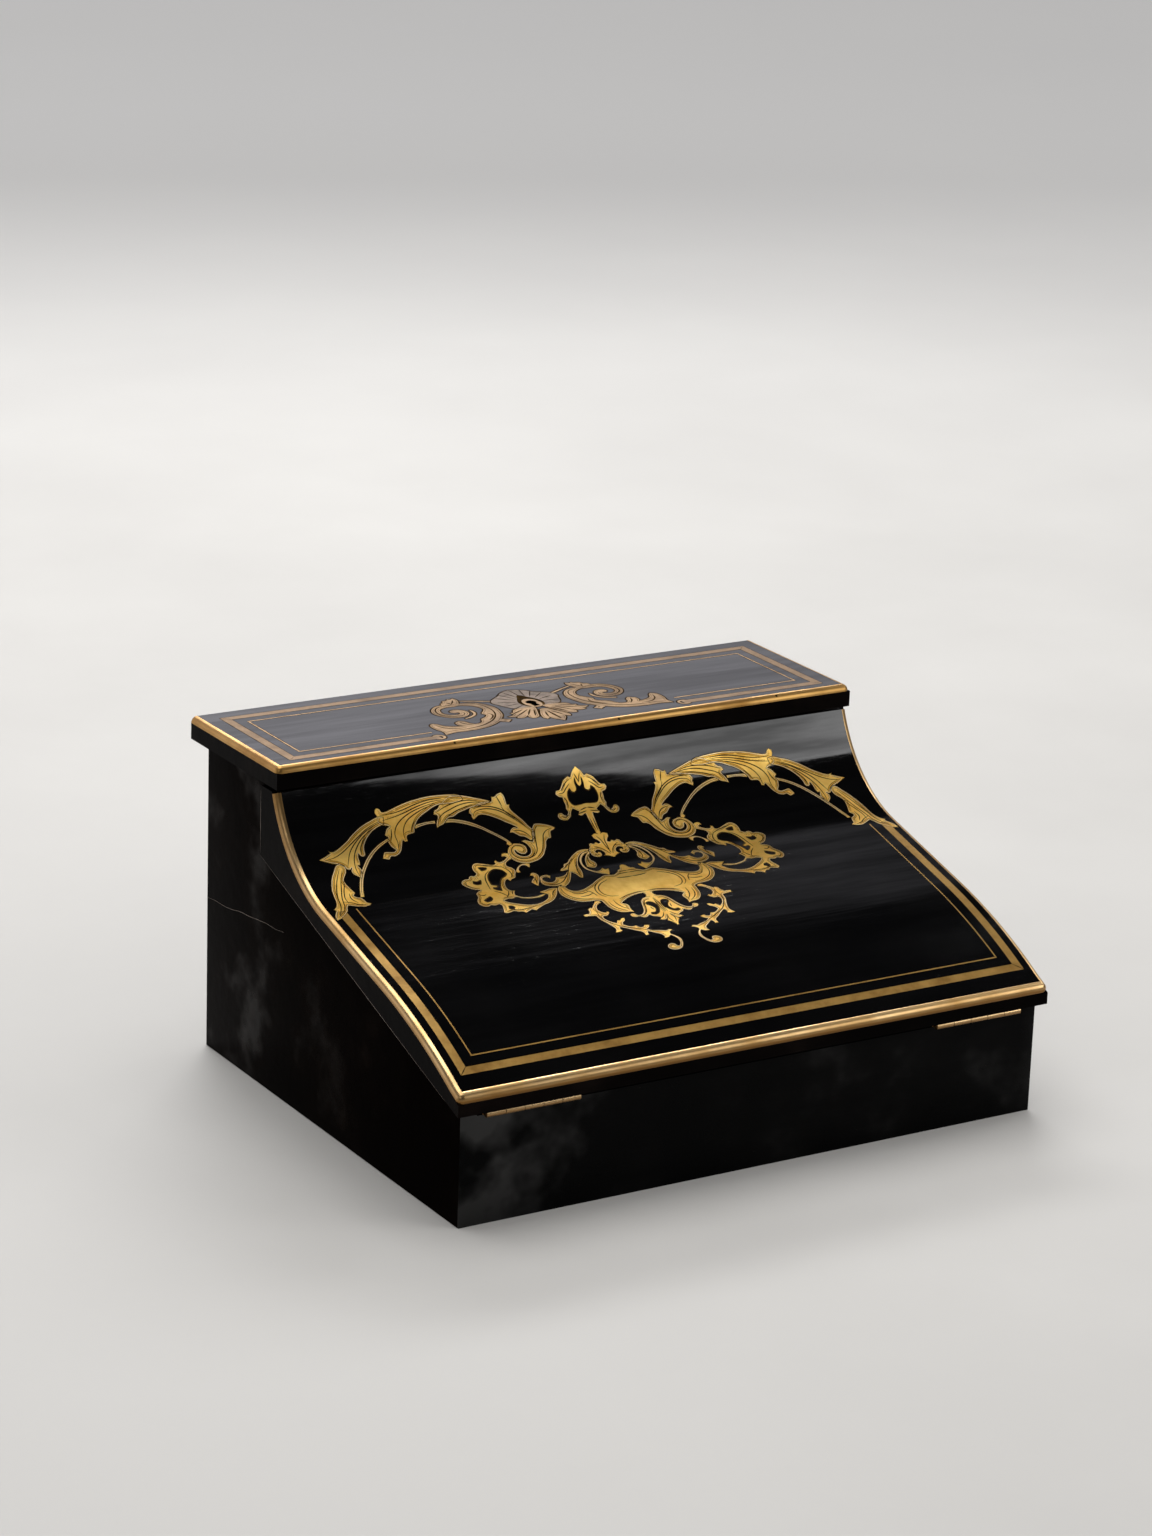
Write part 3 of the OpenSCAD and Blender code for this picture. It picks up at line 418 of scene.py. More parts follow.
engraving_wax_and_shadow, tree, shader = new_finish("engraving_wax_and_shadow")
age = use_group(tree, brass_age, {"Patch Scale": 220.0, "Stroke Scale": 1.0})
plug(tree, shader, {
    "Base Color": tint(tree, age["Tarnish"], (0.010, 0.006, 0.003), (0.06, 0.034, 0.012)),
    "Roughness": spread(tree, age["Stroke"], NOISE_LOW, NOISE_HIGH, 0.45, 0.7),
    "Specular IOR Level": 0.0})
set_normal(tree, shader, [(age["Stroke"], 0.000004)])
print("Brass finishes:", [m.name for m in bpy.data.materials if m.name.endswith("brass")])

# %% [markdown]
# ## Materials of the inside
# Nothing inside shows while the box is shut, but lid and flap open. The fittings are polished
# rosewood, the writing slope is skiver leather with a gilt line, the paper well is lined with felt,
# the inkwells are pressed glass and the lock is filed steel. Leather gets its grain from small
# cells and felt its nap from fine noise; the rest is made of the shared effects.

# %% Material: rosewood, leather and felt
HIDE_CELLS_PER_M, NAP_PER_M = 950.0, 1900.0

rosewood, tree, shader = new_finish("rosewood")
wood = use_group(tree, wood_figure, {"Figure Scale": 1.6})
wear = use_group(tree, polish_wear, {"Cloud Scale": 20.0, "Ripple Scale": 30.0})
heart = tint(tree, wood["Figure"], (0.085, 0.026, 0.012), (0.20, 0.075, 0.03))
plug(tree, shader, {
    "Base Color": tint(tree, wood["Pore"], heart, (0.022, 0.008, 0.005)),
    "Roughness": between(tree, wear["Cloud"], 0.22, 0.4)})
set_normal(tree, shader, [(wear["Ripple"], 0.0001), (wood["Pore"], -0.00002)])

skiver, tree, shader = new_finish("skiver_leather")
wear = use_group(tree, polish_wear, {"Cloud Scale": 16.0, "Ripple Scale": 60.0})
cells = add_node(tree, "ShaderNodeTexVoronoi", {
    "Vector": coordinates(tree), "Scale": HIDE_CELLS_PER_M})
hide = tint(tree, wear["Cloud"], (0.085, 0.012, 0.010), (0.16, 0.030, 0.018))
plug(tree, shader, {
    "Base Color": tint(tree, wear["Dust"], hide, (0.03, 0.006, 0.005)),
    "Roughness": between(tree, wear["Cloud"], 0.42, 0.6)})
set_normal(tree, shader, [(wear["Ripple"], 0.0002), (cells.outputs["Distance"], 0.00012)])

felt, tree, shader = new_finish("well_felt")
wear = use_group(tree, polish_wear, {"Cloud Scale": 14.0, "Ripple Scale": 40.0})
nap = noise(tree, coordinates(tree), NAP_PER_M, 4.0, 0.7)
brushed = both(tree, "MULTIPLY", nap, wear["Cloud"])
plug(tree, shader, {
    "Base Color": tint(tree, brushed, (0.075, 0.010, 0.022), (0.19, 0.035, 0.06)),
    "Roughness": spread(tree, nap, 0.2, 0.8, 0.82, 0.98),
    "Sheen Weight": 0.4})
set_normal(tree, shader, [(nap, 0.0005), (wear["Ripple"], 0.0004)])
print("Inside finishes:", rosewood.name, skiver.name, felt.name)

# %% Material: glass and steel
ink_glass, tree, shader = new_finish("ink_glass")
wear = use_group(tree, polish_wear, {"Cloud Scale": 70.0, "Ripple Scale": 90.0})
plug(tree, shader, {
    "Base Color": tint(tree, wear["Cloud"], (0.86, 0.95, 0.92), (0.80, 0.90, 0.88)),
    "Roughness": between(tree, wear["Cloud"], 0.02, 0.09),
    "Transmission Weight": 1.0})
set_normal(tree, shader, [(wear["Ripple"], 0.00012)])

lock_steel, tree, shader = new_finish("lock_steel")
age = use_group(tree, brass_age, {"Patch Scale": 80.0, "Stroke Scale": 1.4})
plug(tree, shader, {
    "Base Color": tint(tree, age["Tarnish"], (0.42, 0.41, 0.40), (0.17, 0.13, 0.10)),
    "Roughness": spread(tree, age["Stroke"], NOISE_LOW, NOISE_HIGH, 0.30, 0.5),
    "Metallic": 1.0})
set_normal(tree, shader, [(age["Stroke"], 0.00001), (age["Pit"], -0.00001)])
print("Inside finishes:", ink_glass.name, lock_steel.name)

# %% [markdown]
# ## Dress the CAD nodes
# Boards, hinges, lock and inkwells already have their true shape, so they keep it and only get a
# finish. A table of finish and node names is enough.

# %% Finishes of the CAD nodes
CAD_FINISHES = [
    (side_polish, ["left_side", "right_side", "back_board", "bottom_board"]),
    (front_polish, ["front_board"]),
    (edge_polish, ["flap_board", "lid_board"]),
    (rosewood, [
        "shelf_cleats", "ink_shelf", "ink_front", "left_divider", "right_divider", "pen_tray"]),
    (ink_glass, ["left_inkwell", "right_inkwell"]),
    (lid_bead_brass, [
        "left_ink_collar", "right_ink_collar", "left_ink_cap", "right_ink_cap", "strike_plate"]),
    (hinge_brass, [
        "ink_cap_pins", "flap_hinge_pins", "lid_hinge_pins", "carcass_screws", "lid_screws",
        "flap_screws", "lock_screws", "lock_plate", "left_flap_hinge_lower",
        "right_flap_hinge_lower", "left_flap_hinge_upper", "right_flap_hinge_upper",
        "left_lid_hinge_lower", "right_lid_hinge_lower", "left_lid_hinge_upper",
        "right_lid_hinge_upper"]),
    (lock_steel, ["lock_case", "lock_bolt"]),
]
for finish, names in CAD_FINISHES:
    for name in names:
        mesh = cad_nodes[name].data
        if not mesh.materials:
            mesh.materials.append(finish)
        for slot in cad_nodes[name].material_slots:
            slot.material = finish
print("Dressed", sum(len(names) for finish, names in CAD_FINISHES), "CAD nodes")

# %% [markdown]
# ## The flap's face
# The face is one long curve: a hollow cove under the lid, a straight sweep, then a round belly to
# the lip. Everything on it is drawn flat, as x across and t down the face, and then carried onto
# the curve. The same lengths as in the CAD source give the same curve.

# %% The curve of the face
AXIS = np.array([-2.5, 58.0])
HEEL = np.array([202.3, 127.6])
LIP = np.array([-4.5, 69.5])
TOP_EDGE = np.array([186.9, 165.0])
HALF_GAP, COVE_R, COVE_TOP, BELLY_R = 2.0, 75.0, 70.0, 302.0
HALF_WIDTH, BEAD_R, HALF_DEPTH = 174.0, 3.4, 135.0
SWEEP_EASE = 3.7


def across(deg):
    """Direction (y, z) square to a slope in degrees, out of the face."""
    return np.array([-math.sin(math.radians(deg)), math.cos(math.radians(deg))])


def along(deg):
    """Direction (y, z) up a slope in degrees."""
    return np.array([math.cos(math.radians(deg)), math.sin(math.radians(deg))])


heel_reach = np.linalg.norm(HEEL - AXIS)
SLOPE = math.degrees(math.atan2(*(HEEL - AXIS)[::-1]) - math.asin(HALF_GAP / heel_reach))
SWEEP = SLOPE - SWEEP_EASE
cove_c = TOP_EDGE + COVE_R * across(COVE_TOP)
sweep_top = cove_c - COVE_R * across(SWEEP)
span = sweep_top - LIP - BELLY_R * across(SWEEP)
belly_end = SWEEP + math.degrees(math.acos(-(span @ across(SWEEP)) / BELLY_R))
belly_run = BELLY_R * math.sin(math.radians(belly_end))
sweep_len = (span[0] - belly_run) / math.cos(math.radians(SWEEP))
belly_c = sweep_top - sweep_len * along(SWEEP) - BELLY_R * across(SWEEP)
COVE_LEN = COVE_R * math.radians(COVE_TOP - SWEEP)
BELLY_AT = COVE_LEN + sweep_len
FACE_LEN = BELLY_AT + BELLY_R * math.radians(belly_end - SWEEP)


def face_slope(t):
    """Slope of the face in degrees, t mm down from its top edge."""
    if t < COVE_LEN:
        return COVE_TOP - math.degrees(t / COVE_R)
    return SWEEP + math.degrees(max(t - BELLY_AT, 0.0) / BELLY_R)


def face_point(t):
    """(y, z) of the face, t mm down from its top edge, y from the carcass front."""
    if t < COVE_LEN:
        return cove_c - COVE_R * across(face_slope(t))
    if t < BELLY_AT:
        return sweep_top - (t - COVE_LEN) * along(SWEEP)
    return belly_c + BELLY_R * across(face_slope(t))


def in_box(x, y, z):
    """Millimetres from the carcass front to metres in the shared frame."""
    return (x * MM, (y - HALF_DEPTH) * MM, z * MM)


def on_flap(x, t, lift):
    """A flat drawing carried onto the face, lift out of the wood."""
    y, z = face_point(t) + lift * across(face_slope(t))
    return in_box(x, y, z)


print("Face in mm: cove", round(COVE_LEN, 1), "sweep", round(sweep_len, 1),
      "whole", round(FACE_LEN, 1))

# %% [markdown]
# ## Sawing sheet from drawn outlines
# A marquetry cutter saws sheet along a drawn line. Here an outline is a list of points, joined by
# round curves, with a corner wherever it turns sharply. Bezier curve objects could do the same, but
# points in a list can be mirrored, tested and filled in a few lines.

# %% Outlines
CORNER = 62.0


def smooth(points, closed=True, step=2.4):
    """Points joined by round curves, with a corner where the outline turns by more than CORNER."""
    p = np.array(points, float)
    count = len(p)
    legs = np.roll(p, -1, 0) - p
    lengths = np.linalg.norm(legs, axis=1)

    def tangent(i, side):
        before, after = legs[i - 1], legs[i]
        if not closed and i in (0, count - 1):
            return legs[0] if i == 0 else legs[-2]
        turn = math.atan2(before[0] * after[1] - before[1] * after[0], before @ after)
        if abs(math.degrees(turn)) > CORNER:
            return after if side > 0 else before
        way = before / lengths[i - 1] + after / lengths[i]
        return way / np.linalg.norm(way) * (lengths[i] if side > 0 else lengths[i - 1])

    out = []
    for i in range(count if closed else count - 1):
        j = (i + 1) % count
        start, end = tangent(i, 1), tangent(j, -1)
        parts = max(2, int(lengths[i] / step) + 1)
        for s in np.arange(parts) / parts:
            out.append((2 * s**3 - 3 * s**2 + 1) * p[i] + (s**3 - 2 * s**2 + s) * start
                       + (3 * s**2 - 2 * s**3) * p[j] + (s**3 - s**2) * end)
    return np.array(out if closed else out + [p[-1]])


def straight(points, step):
    """A closed outline of straight edges, with points no further apart than step."""
    out = []
    for a, b in zip(points, points[1:] + points[:1]):
        a, b = np.array(a, float), np.array(b, float)
        parts = max(1, int(math.ceil(np.linalg.norm(b - a) / step)))
        out += [a + (b - a) * k / parts for k in range(parts)]
    return np.array(out)


def inside(points, ring):
    """Which points lie inside a closed outline."""
    found = np.zeros(len(points), bool)
    near = np.all((points >= ring.min(0)) & (points <= ring.max(0)), axis=1)
    if not near.any():
        return found
    x, y = points[near].T
    odd = np.zeros(len(x), bool)
    for (x0, y0), (x1, y1) in zip(ring, np.roll(ring, -1, 0)):
        if y0 != y1:
            odd ^= ((y0 > y) != (y1 > y)) & (x < (x1 - x0) * (y - y0) / (y1 - y0) + x0)
    found[near] = odd
    return found


print("Outline tools ready, corners over", CORNER, "degrees")

# %% [markdown]
# ### From outline to sheet
# One large face would not bend over the curve. A Delaunay fill makes small triangles that do, and
# it joins overlapping outlines into one sheet. Each sheet is then given its thickness, so that
# every piece is a closed solid.

# %% Sheets
MERGE = 1e-5
TRIANGLES = 0


def fill(outlines, openings=(), spacing=2.5):
    """Points and triangles that cover every outline, less the openings."""
    rings = list(outlines) + list(openings)

    def kept(points):
        covered = np.any([inside(points, ring) for ring in outlines], axis=0)
        for ring in openings:
            covered &= ~inside(points, ring)
        return covered

    flat = np.concatenate(rings)
    edges, start = [], 0
    for ring in rings:
        edges += [(start + i, start + (i + 1) % len(ring)) for i in range(len(ring))]
        start += len(ring)
    low, high = flat.min(0), flat.max(0)
    stops = [np.arange(low[k] + spacing / 2, high[k], spacing) for k in (0, 1)]
    grid = np.stack(np.meshgrid(*stops), -1).reshape(-1, 2)
    corners = [Vector(q) for q in np.concatenate([flat, grid[kept(grid)]])]
    found = delaunay_2d_cdt(corners, edges, [], TRIANGLES, MERGE)
    points = np.array([tuple(v) for v in found[0]])
    triangles = np.array(found[2])
    triangles = triangles[kept(points[triangles].mean(1))]
    used, triangles = np.unique(triangles, return_inverse=True)
    return points[used], triangles.reshape(-1, 3)


def slab(points, triangles, place, top, bottom):
    """Vertices and faces of a filled sheet from lift bottom to lift top."""
    count = len(points)
    verts = [place(x, t, lift) for lift in (top, bottom) for x, t in points]
    faces = [tuple(f) for f in triangles] + [tuple(f[::-1] + count) for f in triangles]
    open_edges = {}
    for a, b, c in triangles:
        for i, j in ((a, b), (b, c), (c, a)):
            if open_edges.pop((j, i), None) is None:
                open_edges[(i, j)] = True
    faces += [(j, i, i + count, j + count) for i, j in open_edges]
    return verts, faces


def new_piece(name, verts, faces, finish, body, slot, stands_for=(), sharp=35.0):
    """A mesh piece that moves with a body and takes the place of CAD nodes."""
    mesh = bpy.data.meshes.new(name)
    mesh.from_pydata([tuple(v) for v in verts], [], [tuple(int(i) for i in f) for f in faces])
    form = bmesh.new()
    form.from_mesh(mesh)
    bmesh.ops.recalc_face_normals(form, faces=form.faces)
    form.to_mesh(mesh)
    form.free()
    mesh.polygons.foreach_set("use_smooth", [True] * len(mesh.polygons))
    mesh.set_sharp_from_angle(angle=math.radians(sharp))
    mesh.materials.append(finish)
    piece = bpy.data.objects.new(name, mesh)
    scene.collection.objects.link(piece)
    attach(piece, body)
    if stands_for:
        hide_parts(*stands_for)
    print(name, "faces:", len(mesh.polygons), "on", body)
    return piece


print("Sheet tools ready")

# %% [markdown]
# ## The black sheet and the brass lines
# The veneer of the flap is one polished sheet from bead to bead. Two brass lines, one wide and one
# narrow, run down both sides and across the foot; they start under the scrolls. On the real box the
# brass is level with the wood. A few hundredths of a millimetre of lift keeps the two apart here.

# %% Flap sheet and lines
SHEET_T, BRASS_T = 1.2, 0.4
SHEET_COLUMNS, SHEET_ROWS = 60, 190
LINE_LIFT, LINE_STEP = 0.046, 1.6
WIDE_X, WIDE_LINE, THIN_LINE, LINE_GAP = HALF_WIDTH - 7.75, 4.6, 0.75, 6.0
LINES_FROM, WIDE_END = 74.0, FACE_LEN - 13.0
THIN_X, THIN_END = WIDE_X - WIDE_LINE - LINE_GAP, WIDE_END - WIDE_LINE - LINE_GAP


def grid_slab(xs, ts, place, top, bottom):
    """A closed sheet on a regular grid."""
    verts = [place(x, t, lift) for lift in (top, bottom) for t in ts for x in xs]
    wide, tall = len(xs), len(ts)
    half = wide * tall
    faces = []
    for r in range(tall - 1):
        for c in range(wide - 1):
            quad = [r * wide + c, r * wide + c + 1, (r + 1) * wide + c + 1, (r + 1) * wide + c]
            faces += [quad, [i + half for i in quad[::-1]]]
    rim = list(range(wide)) + [r * wide + wide - 1 for r in range(1, tall)]
    rim += [(tall - 1) * wide + c for c in range(wide - 2, -1, -1)]
    rim += [r * wide for r in range(tall - 2, 0, -1)]
    faces += [(b, a, a + half, b + half) for a, b in zip(rim, rim[1:] + rim[:1])]
    return verts, faces


sheet_x = np.linspace(-HALF_WIDTH + BEAD_R, HALF_WIDTH - BEAD_R, SHEET_COLUMNS)
sheet_t = np.linspace(0.0, FACE_LEN - BEAD_R, SHEET_ROWS)
new_piece("flap_sheet", *grid_slab(sheet_x, sheet_t, on_flap, 0.0, -SHEET_T), flap_polish, "flap",
          "ebonised_wood", ["flap_veneer"])


def line_outline(x, width, end):
    """A line down both sides of the face and across its foot."""
    corners = [(x, LINES_FROM), (x, end), (-x, end), (-x, LINES_FROM)]
    x, end = x - width, end - width
    corners += [(-x, LINES_FROM), (-x, end), (x, end), (x, LINES_FROM)]
    return straight(corners, LINE_STEP)


for name, x, width, end in (("flap_wide_line", WIDE_X, WIDE_LINE, WIDE_END),
                            ("flap_thin_line", THIN_X, THIN_LINE, THIN_END)):
    sheet = slab(*fill([line_outline(x, width, end)]), on_flap, LINE_LIFT, -BRASS_T)
    new_piece("brass_" + name, *sheet, line_brass, "flap", "brass", [name])

# %% [markdown]
# ## The flap's marquetry
# The ornament is the traditional one of such boxes: acanthus leaves that sweep up from the lines,
# shell scrolls, and a cartouche with a crest above and tendrils below. It is the same left and
# right, so only the left half is drawn: distance from the middle and length down the face, both in
# quarter millimetres. The engraved strokes are drawn the same way.

# %% Drawing of the flap's ornament
FLAP_BRASS = {
    "leaf_foot": (
        "678,324 676,311 670,300 664,292 668,287 659,280 652,267 648,247 644,229 637,211 629,196 "
        "618,181 609,170 599,166 590,176 592,189 600,200 606,209 606,218 603,231 598,247 605,254 "
        "602,259 594,263 590,272 588,281 580,286 586,291 599,294 612,291 622,286 631,281 636,288 "
        "641,298 651,309 661,317 669,321"
    ),
    "leaf_two": (
        "639,152 625,147 609,140 613,135 603,138 593,135 580,128 566,120 550,108 534,98 518,90 501,84 "
        "481,78 467,80 470,96 484,100 500,107 512,116 522,126 529,136 533,147 535,157 542,160 547,157 "
        "549,151 552,160 553,170 556,179 561,178 557,189 561,200 567,212 573,205 580,197 581,188 "
        "576,181 581,185 587,184 592,176 602,169 617,163"
    ),
    "leaf_three": (
        "481,78 484,70 482,63 477,60 471,64 469,69 460,70 448,67 427,61 405,56 382,53 357,51 327,52 "
        "305,54 283,59 277,70 297,74 317,74 334,73 351,77 367,84 382,91 393,99 400,107 405,114 409,124 "
        "419,126 428,129 430,140 437,142 441,137 446,147 452,158 461,167 473,171 481,170 487,176 "
        "501,172 497,163 492,157 481,158 470,159 465,156 471,149 474,141 475,133 471,125 477,120 "
        "473,113 468,106 460,102 468,99 478,96 484,90"
    ),
    "leaf_four": (
        "335,74 341,80 349,83 354,92 347,94 346,98 351,106 355,114 356,123 348,119 338,116 330,110 "
        "322,104 310,103 296,97 280,93 266,90 248,88 227,86 213,82 231,75 249,69 267,63 287,58 311,58"
    ),
    "leaf_five": (
        "266,89 271,95 272,101 269,104 270,110 267,116 260,112 252,108 240,109 226,115 212,123 198,133 "
        "186,141 176,149 185,146 193,150 200,159 192,159 186,164 179,170 169,174 160,185 149,180 "
        "143,160 149,149 157,133 167,119 175,107 177,101 174,94 181,94 181,85 182,74 187,66 197,68 "
        "206,73 212,72 214,82 237,80"
    ),
    "volute_leaf": (
        "210,188 220,197 225,207 226,217 222,227 215,235 205,240 192,243 177,241 162,236 150,228 "
        "140,216 132,205 126,193 119,187 112,186 108,177 105,170 97,167 91,163 99,156 112,150 126,146 "
        "136,146 143,153 149,165 153,178 157,187 164,184 172,180 183,182 176,188 172,196 171,205 "
        "175,214 183,220 194,221 203,216 207,208 206,201 202,210 196,215 188,216 181,211 178,203 "
        "179,195 185,189 194,186 202,185"
    ),
    "stem_low": (
        "586,263 594,262 589,249 583,234 573,214 562,196 548,178 531,160 513,146 494,135 472,126 "
        "470,133 491,142 509,153 526,167 542,184 556,202 567,220 577,240"
    ),
    "stem_high": (
        "405,108 388,105 368,104 354,104 355,112 372,111 390,113 404,116"
    ),
    "stem_end": (
        "334,105 314,107 292,113 272,122 252,135 235,149 219,163 207,178 204,187 212,190 218,184 "
        "215,178 227,166 243,152 260,139 278,129 296,121 316,115 334,113"
    ),
    "rocaille": (
        "221,208 227,207 234,205 240,207 243,213 236,214 233,217 240,222 249,226 257,226 261,220 "
        "266,222 266,229 272,231 284,227 296,222 307,219 315,221 321,228 323,237 321,249 329,254 "
        "335,252 342,255 344,259 355,260 364,265 368,274 365,282 361,288 354,296 340,303 350,307 "
        "356,313 358,324 365,334 369,346 366,355 360,361 351,362 345,359 339,362 327,360 325,366 "
        "328,376 333,389 328,394 317,393 309,391 302,396 294,397 288,404 279,399 270,395 263,401 "
        "251,394 235,387 219,382 205,374 194,363 184,349 177,337 192,334 207,337 225,341 218,347 "
        "210,354 217,365 229,373 243,378 258,379 273,375 289,367 302,359 310,351 300,347 288,348 "
        "279,345 270,352 256,357 239,359 222,356 213,350 224,351 238,354 254,352 268,347 277,338 "
        "274,330 269,323 278,319 281,312 279,300 273,288 265,281 262,290 255,284 245,280 239,270 "
        "233,258 236,248 244,240 242,233 232,226 222,222"
    ),
    "rocaille_hook": (
        "200,242 212,242 222,247 231,256 234,262 231,267 224,266 224,258 218,250 208,247 203,250 "
        "200,257 195,252 193,244"
    ),
    "sprig": (
        "211,281 207,275 201,273 195,277 193,285 196,295 201,304 208,314 213,322 218,314 222,304 "
        "215,296 208,290 205,283"
    ),
    "arm": (
        "170,293 178,287 188,288 196,293 199,302 202,312 198,322 188,328 176,331 164,330 171,334 "
        "164,339 152,334 140,324 129,309 119,293 114,303 112,313 106,319 99,308 94,292 92,276 86,262 "
        "76,248 64,239 50,236 40,231 55,228 70,230 86,238 103,251 113,260 121,262 127,271 136,276 "
        "142,283 134,284 123,283 131,291 139,298 151,301 162,300 167,308 175,314 185,313 192,306 "
        "191,298 185,294 178,296 175,302"
    ),
    "c_line": (
        "48,232 62,237 74,247 83,261 86,277 84,291 76,302 64,312 54,318 44,323 40,316 36,307 34,299 "
        "43,301 47,294 55,300 63,302 71,298 77,290 80,278 77,263 70,251 59,242 47,238"
    ),
    "c_leaf": (
        "42,234 49,245 55,255 55,263 51,270 50,279 56,288 62,291 70,288 77,283 74,272 70,261 63,250 "
        "52,240"
    ),
    "palmette": (
        "-2,190 3,195 9,192 19,196 18,204 12,211 9,217 14,219 19,214 26,218 31,215 37,218 39,225 45,232 "
        "47,242 45,252 37,258 28,258 22,252 22,245 28,242 31,246 33,241 27,237 20,239 15,245 15,252 "
        "20,256 11,258 5,262 -2,265"
    ),
    "cartouche": (
        "-2,295 6,297 9,303 13,309 19,311 23,317 30,321 36,324 48,322 58,321 70,326 84,333 100,343 "
        "114,350 128,356 143,358 152,355 158,348 160,340 165,333 172,331 179,339 183,349 185,360 "
        "182,372 176,382 167,391 155,398 139,401 123,402 113,406 112,418 110,432 105,443 97,452 86,457 "
        "74,458 65,462 67,450 65,432 74,424 64,417 51,410 37,405 19,402 10,402 9,410 13,416 8,419 -2,420"
    ),
    "lyre": (
        "-2,418 14,418 24,421 32,429 37,440 41,452 47,464 56,472 65,472 69,465 76,464 82,468 80,475 "
        "72,479 63,480 57,485 48,484 41,479 37,485 28,489 22,493 28,500 16,503 9,497 4,487 -2,482"
    ),
    "drop": (
        "-2,478 7,489 11,500 15,507 9,513 4,520 -2,527"
    ),
    "tendril": (
        "133,410 127,404 119,404 116,410 123,413 129,417 135,426 137,434 133,442 126,447 122,443 "
        "118,447 123,454 130,458 137,457 140,462 138,471 132,480 124,487 118,478 112,480 106,474 98,474 "
        "101,483 109,489 113,496 106,502 97,506 89,505 83,514 76,513 72,508 60,511 66,520 73,523 62,530 "
        "48,534 36,538 29,536 20,541 30,545 33,551 26,561 21,573 24,586 31,598 42,605 54,605 63,600 "
        "65,592 60,585 52,582 44,585 42,592 37,593 31,584 29,573 33,561 37,557 43,562 56,563 52,556 "
        "55,548 64,541 75,532 78,536 78,543 88,544 88,532 100,522 113,511 124,503 127,509 125,515 "
        "133,518 145,518 138,508 138,499 143,484 150,469 153,452 164,450 176,449 178,443 170,441 "
        "163,442 158,434 156,426 149,422 147,425"
    ),
    "finial": (
        "-2,36 6,41 12,48 17,57 23,54 29,57 36,61 43,71 51,80 59,81 63,88 58,95 49,98 49,108 48,116 "
        "50,123 48,131 54,139 59,136 63,131 70,131 75,137 73,145 64,150 53,149 45,143 39,132 34,126 "
        "22,134 27,142 20,145 9,141 8,155 6,175 5,193 -2,195"
    ),
}
FLAP_OPENINGS = {
    "roc_1": (
        "308,233 299,234 291,237 295,241 305,243"
    ),
    "roc_2": (
        "339,270 333,273 322,270 325,278 328,283 337,282 342,278"
    ),
    "roc_3": (
        "332,329 331,337 338,344 347,346 351,340 343,335"
    ),
    "roc_4": (
        "311,371 304,373 301,378 307,383 314,381"
    ),
    "roc_5": (
        "297,257 288,249 278,245 267,247 261,252 257,263 264,270 273,274 281,282 287,292 293,304 "
        "297,316 304,312 310,305 308,301 300,302 296,297 302,293 307,291 305,277 302,266"
    ),
    "lyre_eye": (
        "18,435 11,438 7,447 7,457 11,468 17,476 26,480 34,477 32,472 23,473 18,468 15,459 20,449 "
        "26,442 25,437"
    ),
    "finial": (
        "-2,80 3,76 6,70 8,59 10,70 10,86 17,91 23,88 26,81 32,88 35,98 34,110 28,118 16,119 -2,118"
    ),
}
